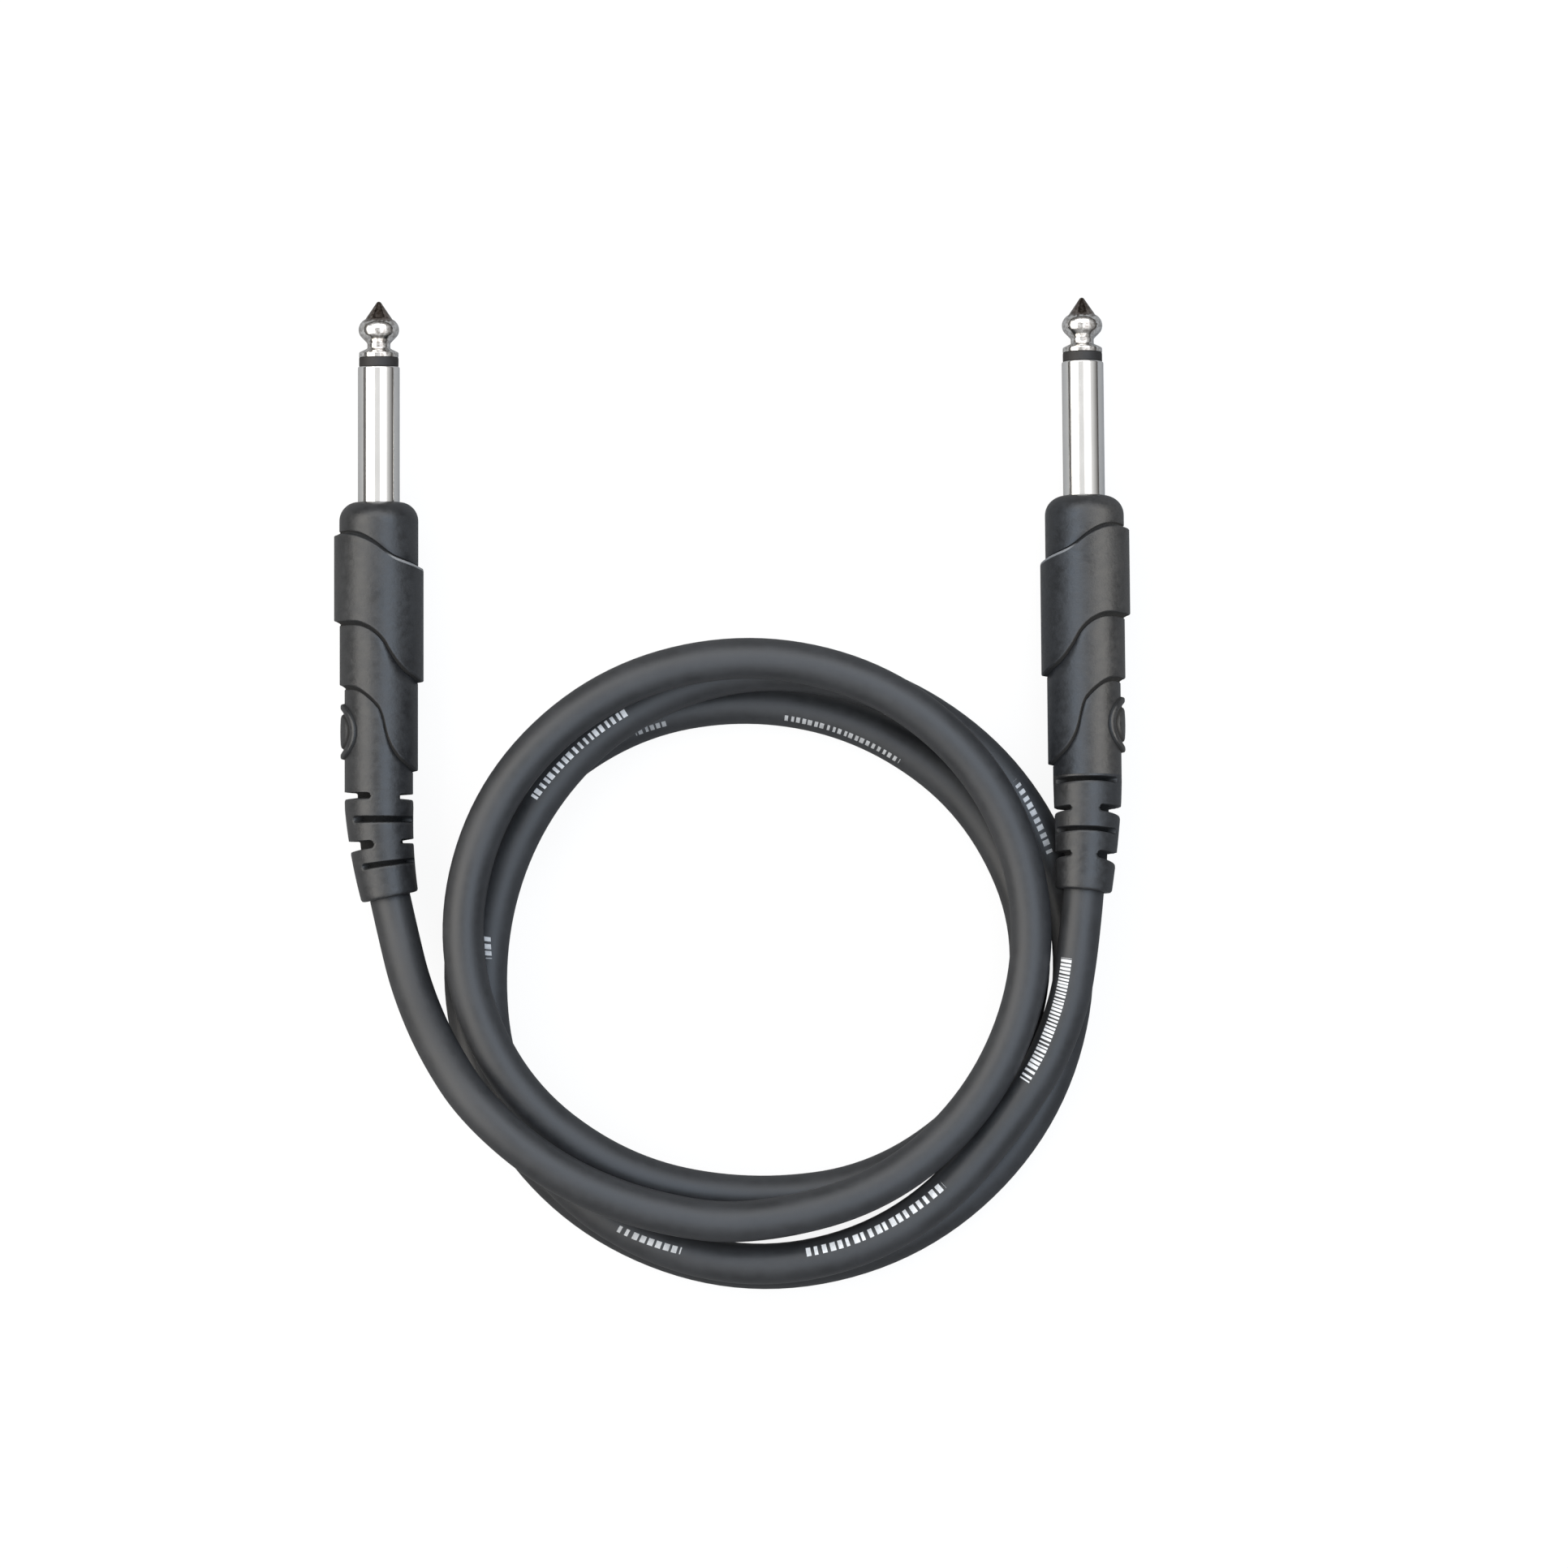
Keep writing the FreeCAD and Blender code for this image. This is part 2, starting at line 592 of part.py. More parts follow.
def oval_prism(name, place, long_half, wide_half, low, high):
    """An oval bar that stands out to -X, between two distances from the axis."""
    body = new_body(name, place)
    lie = "placement(vector(0; 0; -(%s)); rotation(0; 0; 0))" % low
    sketch = new_sketch(body, name + "_oval", "YZ_Plane", lie)
    middle = Vector(number("-boss_back"), 0, 0)
    major, minor = number(long_half), number(wide_half)
    ellipse = Part.Ellipse(middle + Vector(major, 0, 0), middle + Vector(0, minor, 0), middle)
    sketch.addGeometry(ellipse, False)
    sketch.exposeInternalGeometry(0)
    sketch.addConstraint(Sketcher.Constraint("PointOnObject", 0, 3, -1))
    sketch.addConstraint(Sketcher.Constraint("Horizontal", 1))
    driven = [
        ("place", "-boss_back", ("DistanceX", -1, 1, 0, 3, middle.x)),
        ("long_axis", "2 * (%s)" % long_half, ("Distance", 1, 2 * major)),
        ("short_axis", "2 * (%s)" % wide_half, ("Distance", 2, 2 * minor)),
    ]
    for word, text, entry in driven:
        item = sketch.addConstraint(Sketcher.Constraint(*entry))
        sketch.renameConstraint(item, word)
        sketch.setExpression("Constraints." + word, bound(text))
    pad = body.newObject("PartDesign::Pad", name + "_bar")
    pad.Profile = sketch
    pad.Reversed = True
    pad.setExpression("Length", bound("(%s) - (%s)" % (high, low)))
    sketch.Visibility = False
    return body


def housing(side, place, inserts):
    """The outer moulding: nose, two wavy grip bands, neck and oval boss, round what it holds."""
    nose = turned(side + "_core", place, [
        ("0", "0"), ("nose_radius - nose_round", "0", "nose_round", 1), ("nose_radius", "-nose_round"),
        ("nose_radius", "-wave1_right"), ("neck_radius", "-wave1_right"), ("neck_radius", "-housing_length"),
        ("0", "-housing_length")])
    first = grip_band(side + "_front_grip", place, wave("1"), wave("2"), "grip_radius")
    second_front = [("0", "-wave1_left")]
    second = grip_band(side + "_rear_grip", place, second_front, wave("3"), "tail_grip_radius")
    boss = oval_prism(side + "_boss", place, "boss_long", "boss_wide", "cord_radius", "boss_reach")
    solid = joined(side + "_outer", [nose, first, second, boss])
    sunk = oval_prism(side + "_sunk_face", place, "boss_long - boss_rim", "boss_wide - boss_rim",
                      "boss_reach - boss_sink", "boss_reach + boss_sink")
    return cut_from(side + "_moulding", solid, inserts + [sunk])


def plug(side, place, first_across):
    """All the pieces of one plug, each a sub-part of its own."""
    gap = "rod_radius + fit_gap"
    keep(tip_contact(side, place), side + "_tip_contact")
    keep(front_insulator(side, place), side + "_insulating_ring")
    stem_end = "sleeve_exposed - stem_length"
    keep(tube_piece(side + "_tube", place, gap, BORE + " - fit_gap", stem_end, TAIL_REAR),
         side + "_insulating_tube")
    shell = keep(sleeve(side, place), side + "_sleeve_contact")
    washer = keep(tube_piece(side + "_washer", place, gap, "washer_radius", TAIL_REAR, LUG_FRONT),
                  side + "_rear_washer")
    lug = keep(tip_terminal(side, place), side + "_tip_terminal")
    ground = keep(ground_terminal(side, place), side + "_ground_terminal")
    core = keep(rod_piece(side + "_core_wire", place, "core_radius", "-jacket_start", "core_bare"),
                side + "_core_insulation")
    conductor = keep(rod_piece(side + "_copper", place, "conductor_radius", "-jacket_start + core_bare",
                               "conductor_bare"), side + "_conductor")
    screen = keep(rod_piece(side + "_screen", place, "screen_radius", "-jacket_start", "screen_bare",
                            SCREEN_AXIS), side + "_screen_pigtail")
    tip_blob = rod_piece(side + "_tip_blob", place, "solder_radius",
                         "-jacket_start + core_bare + conductor_bare - solder_inset - solder_length",
                         "solder_length")
    tip_solder = keep(cut_from(side + "_tip_joint", tip_blob, [conductor, lug]), side + "_tip_solder")
    ground_blob = rod_piece(side + "_ground_blob", place, "solder_radius",
                            "-jacket_start + screen_bare - solder_inset - solder_length",
                            "solder_length", SCREEN_AXIS)
    ground_solder = keep(cut_from(side + "_ground_joint", ground_blob, [screen, ground]),
                         side + "_ground_solder")
    jacket = keep(cable_end(side, place), side + "_jacket_end")
    block = rod_piece(side + "_block", place, "block_radius", BLOCK_REAR, "block_length")
    hollow = rod_piece(side + "_hollow", place, BORE, LUG_REAR, "block_length - (%s)" % LUG_REAR)
    head = rod_piece(side + "_head", place, "peen_radius", LUG_REAR + " - peen_length", "peen_length")
    keep(cut_from(side + "_inner_block", block,
                  [shell, hollow, washer, ground, lug, head, core, conductor, screen, tip_solder,
                   ground_solder, jacket]),
         side + "_inner_mould")
    relief = keep(strain_relief(side, place, first_across), side + "_strain_relief")
    keep(housing(side, place, [shell, hollow, ground, block, jacket, relief]), side + "_housing")


# The left plug lies level on its widest band. The right one leans nose down on that band's
# sloping front edge, because a strand of the coil passes under its relief.
LEFT_PLACE = "placement(vector(left_plug_x; left_plug_y; grip_radius); rotation(0; 0; 0))"
LEAN_EDGE = "((wave1_left + wave1_right) / 2 - wave1_middle * tan(wave1_slope))"
LEAN_RISE = "grip_radius * sqrt(cos(right_lean)^2 + (tan(wave1_slope) * sin(right_lean))^2)"
RIGHT_HEIGHT = LEAN_RISE + " - " + LEAN_EDGE + " * sin(right_lean)"
RIGHT_TURN = "rotation(180 + right_yaw; 0; 180 + right_lean)"
RIGHT_PLACE = "placement(vector(right_plug_x; right_plug_y; %s); %s)" % (RIGHT_HEIGHT, RIGHT_TURN)

plug("left", LEFT_PLACE, "x")
plug("right", RIGHT_PLACE, "z")


def exit_of(side, place):
    """Where the cord leaves the relief, and in which direction."""
    lie = sheet.evalExpression(bound(place))
    bend = number(relief_radius_of_bend(side))
    turn = math.radians(number(side + "_bend"))
    point = Vector(bend * (1 - math.cos(turn)), -number("housing_length") - bend * math.sin(turn), 0)
    heading = Vector(math.sin(turn), -math.cos(turn), 0)
    return lie.multVec(point), lie.Rotation.multVec(heading)


def arc_from(start, heading, end):
    """The arc that leaves start along heading and ends at end."""
    chord = end - start
    along = chord.normalize()
    length = start.distanceToPoint(end)
    lean = math.acos(max(-1.0, min(1.0, heading.dot(along))))
    outward = heading - along * heading.dot(along)
    outward.normalize()
    middle = (start + end) / 2 + outward * (length / 2 * math.tan(lean / 2))
    return Part.Arc(start, middle, end), length / 2 / math.sin(lean)


def coil_station(index):
    """A quarter-turn point of the coil and the direction of the strand there."""
    last = len(COIL_STATIONS) - 1
    angle = math.radians(90 * index - 90)
    outward = Vector(math.cos(angle), math.sin(angle), 0)
    forward = Vector(-math.sin(angle), math.cos(angle), 0)
    reach, height = COIL_STATIONS[index]
    point = Vector(number("coil_x"), number("coil_y"), height) + outward * reach
    if index in (0, last):
        return point, forward
    drift = (COIL_STATIONS[index + 1][0] - COIL_STATIONS[index - 1][0]) / 2
    before = height - COIL_STATIONS[index - 1][1]
    after = COIL_STATIONS[index + 1][1] - height
    climb = 2 * before * after / (before + after) if before * after > 0 else 0.0
    heading = forward * (reach * math.pi / 2) + outward * drift + Vector(0, 0, climb)
    return point, heading.normalize()


def biarc(start, start_way, end, end_way):
    """Two arcs that share a tangent, from one station to the next."""
    span = end - start
    both = start_way + end_way
    spread = 2 * (1 - start_way.dot(end_way))
    reach = (math.sqrt(span.dot(both) ** 2 + spread * span.dot(span)) - span.dot(both)) / spread
    joint = (start + start_way * reach + end - end_way * reach) / 2
    first, first_radius = arc_from(start, start_way, joint)
    along = (joint - start).normalize()
    joint_way = along * (2 * start_way.dot(along)) - start_way
    second, second_radius = arc_from(joint, joint_way, end)
    return [first, second], [first_radius, second_radius]


def coil_path(straight):
    """The coil's edges: a short straight end, a biarc for each quarter turn, a short straight end."""
    stations = [coil_station(index) for index in range(len(COIL_STATIONS))]
    curves, radii = [], []
    for (start, start_way), (end, end_way) in zip(stations, stations[1:]):
        arcs, sizes = biarc(start, start_way, end, end_way)
        curves += arcs
        radii += sizes
    first_point, first_way = stations[0]
    last_point, last_way = stations[-1]
    head = first_point - first_way * straight
    foot = last_point + last_way * straight
    edges = [Part.LineSegment(head, first_point)] + curves + [Part.LineSegment(last_point, foot)]
    return [edge.toShape() for edge in edges], radii, (head, first_way), (foot, last_way)


def route_path(corners):
    """Straight runs joined by tangent arcs, each arc as large as its two runs allow."""
    edges, radii = [], []
    leave = corners[0]
    for before, corner, after in zip(corners, corners[1:], corners[2:]):
        to_before, to_after = before - corner, after - corner
        run = min(to_before.Length, to_after.Length)
        half_turn = (math.pi - to_before.getAngle(to_after)) / 2
        setback = 0.45 * run
        start = corner + to_before.normalize() * setback
        end = corner + to_after.normalize() * setback
        edges.append(Part.LineSegment(leave, start).toShape())
        arc, radius = arc_from(start, (corner - start).normalize(), end)
        edges.append(arc.toShape())
        radii.append(radius)
        leave = end
    edges.append(Part.LineSegment(leave, corners[-1]).toShape())
    return edges, radii


def right_stretch(foot, head):
    """From the coil's last strand to the right relief: a biarc from each station to the next."""
    stations = [foot]
    for x, y, height, turn in RIGHT_STATIONS:
        way = Vector(math.cos(math.radians(turn)), math.sin(math.radians(turn)), 0)
        stations.append((Vector(x, y, height), way))
    stations.append(head)
    curves, radii = [], []
    for (start, start_way), (end, end_way) in zip(stations, stations[1:]):
        arcs, sizes = biarc(start, start_way, end, end_way)
        curves += arcs
        radii += sizes
    return [curve.toShape() for curve in curves], radii


def tube_along(edges, radius, start, heading):
    """A round tube along the edges, in the pipe shell's default mode."""
    circle = Part.Wire(Part.Circle(start, heading, radius).toShape())
    return Part.Wire(edges).makePipeShell([circle], True, False)


def add_cord(label, edges, radii, start, heading):
    """One stretch of the cord as a document object, with its volume compared with its length."""
    radius = number("cord_radius")
    solid = tube_along(edges, radius, start, heading)
    if solid.Volume < 0:
        solid = solid.reversed()
    item = doc.addObject("Part::Feature", label)
    item.Shape = solid
    item.Placement = FreeCAD.Placement()
    length = sum(edge.Length for edge in edges)
    share = solid.Volume / (math.pi * radius * radius * length)
    print("%s: length %.1f mm, volume over section times length %.5f" % (label, length, share))
    print("%s: bend radii %s" % (label, " ".join("%.1f" % value for value in radii)))
    return keep(item, label), length


def least_gap(edges, radius):
    """The least distance between turns of a tube, on points a millimetre or so apart."""
    points, places, travel = [], [], 0.0
    for edge in edges:
        steps = max(2, int(edge.Length / 1.2))
        for index in range(steps):
            parameter = edge.FirstParameter + (edge.LastParameter - edge.FirstParameter) * index / steps
            points.append(edge.valueAt(parameter))
            places.append(travel + edge.Length * index / steps)
        travel += edge.Length
    least = 1e9
    for i, point in enumerate(points):
        for j in range(i + 1, len(points)):
            if places[j] - places[i] > 8 * radius:
                least = min(least, point.distanceToPoint(points[j]))
    return least - 2 * radius


def cord_pieces():
    """The left stretch, the coil of three turns and the right stretch, face to face."""
    radius = number("cord_radius")
    run = number("tail_run")
    coil, coil_radii, head, foot = coil_path(2 * radius)
    left_exit, left_way = exit_of("left", LEFT_PLACE)
    right_exit, right_way = exit_of("right", RIGHT_PLACE)
    left_corners = ([left_exit, left_exit + left_way * run] + [Vector(*point) for point in LEFT_ROUTE]
                    + [head[0] - head[1] * run, head[0]])
    left, left_radii = route_path(left_corners)
    right, right_radii = right_stretch(foot, (right_exit, right_way * -1))
    lengths = [
        add_cord("cord_left_run", left, left_radii, left_exit, left_way)[1],
        add_cord("cord_coil", coil, coil_radii, head[0], head[1])[1],
        add_cord("cord_right_run", right, right_radii, foot[0], foot[1])[1],
    ]
    whole = left + coil + right
    print("cord between the reliefs: %.1f mm, least gap to itself %.2f mm" % (
        sum(lengths), least_gap(whole, radius)))
    print("left route", [tuple(round(value, 1) for value in corner) for corner in left_corners])
    print("right relief's end", [round(value, 2) for value in right_exit])


cord_pieces()
doc.recompute()


def check_and_write():
    """Stop on any failed object, then write each sub-part to its own file."""
    bad = [item.Name for item in doc.Objects if "Invalid" in item.State or "Error" in item.State]
    if bad:
        raise RuntimeError("failed objects: " + ", ".join(bad))
    for item in sub_parts:
        shape = item.Shape
        if shape.isNull() or not shape.isValid() or not shape.Solids:
            raise RuntimeError("no valid solid in " + item.Label)
    os.makedirs("parts", exist_ok=True)
    for item in sub_parts:
        item.Shape.exportStep("parts/%s.step" % item.Label)
        print("%-24s %d solid, %9.2f mm3" % (item.Label, len(item.Shape.Solids), item.Shape.Volume))
    boxes = [item.Shape.BoundBox for item in sub_parts if not item.Label.startswith("cord_")]
    print("plugs' box x %.2f %.2f, y %.2f %.2f, z %.2f %.2f" % (
        min(b.XMin for b in boxes), max(b.XMax for b in boxes), min(b.YMin for b in boxes),
        max(b.YMax for b in boxes), min(b.ZMin for b in boxes), max(b.ZMax for b in boxes)))


check_and_write()
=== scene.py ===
# %% [markdown]
# # Instrument cable
# The real object is a lead of about one metre with a straight moulded 6.35 mm phone plug at each end.
# It lies coiled three and a half turns on a white table, and is seen from straight above.
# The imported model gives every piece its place. This lesson dresses it: a smooth spline for the cord,
# surfaces worked out with numpy for the two plugs, and procedural finishes for nickel, soft
# moulding and jacket.

# %% Load the frame
import bpy
import math
import numpy as np
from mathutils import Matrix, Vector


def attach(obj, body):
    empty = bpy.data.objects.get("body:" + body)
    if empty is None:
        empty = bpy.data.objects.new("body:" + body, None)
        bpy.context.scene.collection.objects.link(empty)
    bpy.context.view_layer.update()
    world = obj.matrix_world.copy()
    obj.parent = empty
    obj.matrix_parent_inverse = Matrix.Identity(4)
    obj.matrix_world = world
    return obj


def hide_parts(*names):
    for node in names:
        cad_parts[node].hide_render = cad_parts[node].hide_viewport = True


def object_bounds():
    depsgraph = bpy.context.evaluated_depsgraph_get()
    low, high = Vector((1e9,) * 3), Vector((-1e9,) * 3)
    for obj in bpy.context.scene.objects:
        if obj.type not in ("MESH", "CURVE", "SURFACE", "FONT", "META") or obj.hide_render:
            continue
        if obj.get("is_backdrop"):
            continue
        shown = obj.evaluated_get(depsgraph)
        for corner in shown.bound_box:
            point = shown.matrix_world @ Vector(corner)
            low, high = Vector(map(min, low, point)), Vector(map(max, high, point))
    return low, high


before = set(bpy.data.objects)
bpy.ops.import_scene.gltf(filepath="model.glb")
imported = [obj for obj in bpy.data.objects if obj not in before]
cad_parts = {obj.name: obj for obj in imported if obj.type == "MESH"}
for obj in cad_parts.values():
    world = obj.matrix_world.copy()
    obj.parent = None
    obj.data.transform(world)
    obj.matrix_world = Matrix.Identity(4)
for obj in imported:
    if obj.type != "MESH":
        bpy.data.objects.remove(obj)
cad_box = [list(corner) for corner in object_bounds()]
MM = 0.001
print("nodes in the frame:", len(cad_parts))

# %% [markdown]
# ## Sizes
# The plugs stand in a frame of their own: the axis is Y, the finger points to +Y, and Y = 0 is the
# front face of the nose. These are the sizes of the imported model, in millimetres, so that every new
# surface lies where its solid lies. A size that only one piece needs stands with that piece.

# %% Sizes that several pieces share, in millimetres
SLEEVE_R, SLEEVE_FRONT = 3.175, 20.6
RING_R, RING_FRONT = 3.0, 22.0
APEX = 30.5
GRIP_R, NECK_R = 6.8, 5.2
HOUSING_END = 43.7
RELIEF_LENGTH = 16.5
CORD_R = 3.1
print("a plug is %.1f mm from point to strain relief's end" % (APEX + HOUSING_END + RELIEF_LENGTH))

# %% [markdown]
# ## Where the plugs lie
# The left plug lies level on its widest band. The right one is turned over about its axis and leans
# nose down, because a strand of the coil passes under its relief. One matrix and one offset per plug
# carry points from the plug's frame to the table.

# %% Placement of each plug


def turn_about(axis, degrees):
    """The 3 by 3 matrix that turns a point about the X or Z axis by the right-hand rule."""
    c, s = math.cos(math.radians(degrees)), math.sin(math.radians(degrees))
    return np.array({"x": [[1, 0, 0], [0, c, -s], [0, s, c]],
                     "z": [[c, -s, 0], [s, c, 0], [0, 0, 1]]}[axis])


# `bend` is how far the relief bends, in degrees. `up` is 1 where the plug's own +Z is upwards, else -1.
LEAN, YAW, RIGHT_HEIGHT = 4.5, 0.5, 6.25
PLUGS = {
    "left": dict(turn=np.eye(3), at=np.array([-53.7, 14.6, GRIP_R]), bend=11.8, up=1),
    "right": dict(turn=turn_about("z", 180 + YAW) @ turn_about("x", 180 + LEAN),
                  at=np.array([53.6, 15.5, RIGHT_HEIGHT]), bend=5.5, up=-1),
}


def on_table(side, points):
    """Points of a plug's own frame, in millimetres, on the table, in metres: turn them, then shift them."""
    plug = PLUGS[side]
    return (np.asarray(points) @ plug["turn"].T + plug["at"]) * MM


print("right plug's axis at the nose is %.2f mm over the table" % RIGHT_HEIGHT)

# %% [markdown]
# ## Finishes as Python sums
# A procedural finish is a small calculation on fields, such as noise or the distance along a piece.
# It could be wired by hand in the node editor, but as Python sums it can be read. `Field` wraps a
# socket and turns each operator into a Math node, `Tree` adds every other kind of node through one
# method, and `Finish` is the tree of one material.

# %% The socket wrapper


class Field:
    """One output socket of a tree; sums on it add Math nodes to that tree."""

    def __init__(self, tree, socket):
        self.tree, self.socket = tree, socket

    def calc(self, operation, *others):
        """The Math node of this field and the others, which are fields or numbers."""
        entries = {index: item for index, item in enumerate((self,) + others)}
        return self.tree.node("Math", {"operation": operation}, entries)

    def __add__(self, other):
        return self.calc("ADD", other)

    def __sub__(self, other):
        return self.calc("SUBTRACT", other)

    def __mul__(self, other):
        return self.calc("MULTIPLY", other)

    def __rsub__(self, other):
        return (self * -1.0) + other

    __radd__, __rmul__ = __add__, __mul__

    def above(self, limit):
        """1 where the field is above the limit, else 0."""
        return self.calc("GREATER_THAN", limit)

    def below(self, limit):
        """1 where the field is below the limit, else 0."""
        return self.calc("LESS_THAN", limit)


# %% Trees and finishes


class Tree:
    """The node tree of a world or a material, whose output node is of the same kind."""

    def __init__(self, owner, kind):
        owner.use_nodes = True
        self.links, self.nodes, self.kind = owner.node_tree.links, owner.node_tree.nodes, kind
        self.nodes.clear()

    def node(self, kind, settings=None, inputs=None, output=0):
        """
        Add a node, its settings first and then its inputs, and return one output as a field. A socket
        goes by its name, or by its place where a name comes twice.
        """
        made = self.nodes.new("ShaderNode" + kind)
        for key, value in (settings or {}).items():
            if key == "stops":
                for stop, (place, colour) in zip(made.color_ramp.elements, value):
                    stop.position, stop.color = place, colour
            else:
                setattr(made, key, value)
        for key, value in (inputs or {}).items():
            if isinstance(value, Field):
                self.links.new(value.socket, made.inputs[key])
            else:
                made.inputs[key].default_value = value
        return Field(self, made.outputs[output])

    def where(self, kind="Object"):
        """Coordinates on the piece, or of a direction in the world."""
        return self.node("TexCoord", output=kind)

    def part(self, vector, letter):
        """One of the three numbers of a vector: X, Y or Z."""
        return self.node("SeparateXYZ", {}, {"Vector": vector}, letter)

    def blend(self, factor, first, second):
        """A colour between two, by a field from 0 to 1."""
        return self.node("Mix", {"data_type": "RGBA"}, {0: factor, 6: first, 7: second}, output=2)

    def close(self, shader):
        """Lead a shader to the tree's output node."""
        end = self.nodes.new("ShaderNodeOutput" + self.kind)
        self.links.new(shader.socket, end.inputs["Surface"])


class Finish(Tree):
    """A material under construction."""

    def __init__(self, name):
        self.material = bpy.data.materials.new(name)
        super().__init__(self.material, "Material")

    def noise(self, scale, detail=3.0, rough=0.5):
        """Noise in the piece's own space: a scale of 1000 has spots of about a millimetre."""
        return self.node("TexNoise", {}, {"Vector": self.where(), "Scale": scale, "Detail": detail,
                                          "Roughness": rough})

    def spread(self, field, low=0.36, high=0.64):
        """The middle values of a noise stretched to the whole range from 0 to 1."""
        return self.node("MapRange", {}, {"Value": field, "From Min": low, "From Max": high})

    def bump(self, height, distance, strength):
        """Normals as if the surface rose by up to `distance`, in metres, where height is 1."""
        return self.node("Bump", {}, {"Height": height, "Distance": distance, "Strength": strength})

    def shade(self, **inputs):
        """Close the material with a Principled shader."""
        named = {key.replace("_", " "): value for key, value in inputs.items()}
        self.close(self.node("BsdfPrincipled", {}, named))
        return self.material


def grey(level, tint=(1.0, 1.0, 1.0)):
    """A colour with alpha from one level and a slight tint."""
    return tuple(level * part for part in tint) + (1.0,)


# %% [markdown]
# ## Camera
# The photograph is taken from straight above with a long lens. At the height of the plugs' axes it
# shows 8.1 pixels to a millimetre, and its middle lies at x = 7.9, y = -28.3 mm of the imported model.
# From those two facts and a chosen height, the lens follows: it is to the sensor as the distance is
# to the width that is seen.

# %% Camera over the table
PHOTO_WIDTH, PIXELS_PER_MM = 1932, 8.1
PHOTO_MIDDLE = (0.00793, -0.02827)
CAMERA_HEIGHT, SENSOR = 1.15, 36.0
seen_width = PHOTO_WIDTH / PIXELS_PER_MM * MM
camera_data = bpy.data.cameras.new("camera")
camera_data.sensor_width = SENSOR
camera_data.lens = SENSOR * (CAMERA_HEIGHT - GRIP_R * MM) / seen_width
camera_data.clip_start = 0.05
camera = bpy.data.objects.new("camera", camera_data)
camera.location = PHOTO_MIDDLE + (CAMERA_HEIGHT,)
bpy.context.scene.collection.objects.link(camera)
bpy.context.scene.camera = camera
print("lens %.0f mm" % camera_data.lens)

# %% [markdown]
# ## Table and room
# The photograph has a plain white ground with hardly a shadow. A table that is only lit would show
# grey shadows, and one that only glows would throw white light up under the cord. So the Light Path
# node tells the rays apart: the camera sees a pale table that mostly glows, and every other ray meets
# a dark one that hardly does. The room behind works the same way, white to the camera, and to every
# other ray dim and warm at the horizon and bright overhead.

# %% Table
bpy.ops.mesh.primitive_plane_add(size=6.0, location=(0.0, 0.0, 0.0))
table = bpy.context.active_object
table.name = "table"
white = Finish("table_white")
seen = white.node("LightPath", output="Is Camera Ray")
mirrored = white.node("LightPath", output="Is Glossy Ray")
ground = white.blend(seen, grey(0.18), grey(0.86))
lit = white.node("BsdfPrincipled", {}, {"Base Color": ground, "Roughness": 0.7})
glow = white.node("Emission", {}, {"Color": grey(1.0), "Strength": 1.0})
white.close(white.node("MixShader", {}, {0: seen * 0.90 + mirrored * 0.06, 1: lit, 2: glow}))
table.data.materials.append(white.material)
table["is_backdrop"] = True
print("table %.0f m wide" % table.dimensions.x)

# %% World
world = bpy.data.worlds.new("room")
bpy.context.scene.world = world
room = Tree(world, "World")
height = room.part(room.where("Generated"), "Z")
levels = [(0.05, grey(0.05, (1.0, 0.90, 0.80))), (0.72, grey(0.85))]
walls = room.node("Background", {}, {"Color": room.node("ValToRGB", {"stops": levels}, {"Fac": height})})
plain = room.node("Background", {}, {"Color": grey(1.0)})
to_camera = room.node("LightPath", output="Is Camera Ray")
room.close(room.node("MixShader", {}, {0: to_camera, 1: walls, 2: plain}))
print("nodes of the room:", [node.name for node in room.nodes])

# %% [markdown]
# ## Lamps
# The photograph is lit by two soft panels, a warm key on the left and a cool fill on the right, with
# a third one behind. The body of its right plug is lit the other way round, so a mirrored pair is
# kept for that body alone, and Cycles' light linking at the end of this lesson keeps the pairs
# apart. Area lamps are used because their reflections show as the broad bands that the photograph
# has along cord and nickel.

# %% The six panels
LAMP_AWAY, LAMP_LENGTH, LAMP_Y = 0.75, 1.0, -0.03


def panel(name, degrees, span, radiance, colour, towards):
    """
    A soft lamp LAMP_AWAY from the middle, `degrees` off straight up, that spans so many degrees. It
    leans to the heading `towards`, in degrees from +X. A flat lamp of area A that glows evenly at
    radiance L gives pi * A * L watts.
    """
    lean, heading = math.radians(degrees), math.radians(towards)
    width = 2 * LAMP_AWAY * math.tan(math.radians(span) / 2)
    data = bpy.data.lights.new(name, "AREA")
    data.shape = "RECTANGLE"
    data.size, data.size_y = width, LAMP_LENGTH
    data.energy, data.color = math.pi * width * LAMP_LENGTH * radiance, colour
    lamp = bpy.data.objects.new(name, data)
    aside, height = LAMP_AWAY * math.sin(lean), LAMP_AWAY * math.cos(lean)
    lamp.location = (aside * math.cos(heading), aside * math.sin(heading) + LAMP_Y, height)
    lamp.rotation_euler = (0.0, lean, heading)
    lamp.visible_camera = False
    bpy.context.scene.collection.objects.link(lamp)
    print("%-14s %3.0f mm wide, %.2f W" % (name, width / MM, data.energy))
    return lamp


WARM, COOL = (1.0, 0.965, 0.90), (0.63, 0.79, 1.0)
PANELS = [
    ("warm_left", -48, 44, 3.35, WARM, 0), ("cool_left", 25, 38, 2.7, COOL, 0),
    ("warm_right", 48, 44, 3.35, WARM, 0), ("cool_right", -25, 38, 2.7, COOL, 0),
    ("back", 40, 34, 2.2, (0.98, 0.99, 1.0), 90), ("metal", 25, 38, 0.62, (1.0, 0.97, 0.99), 0),
]
lamps = {row[0]: panel(*row) for row in PANELS}

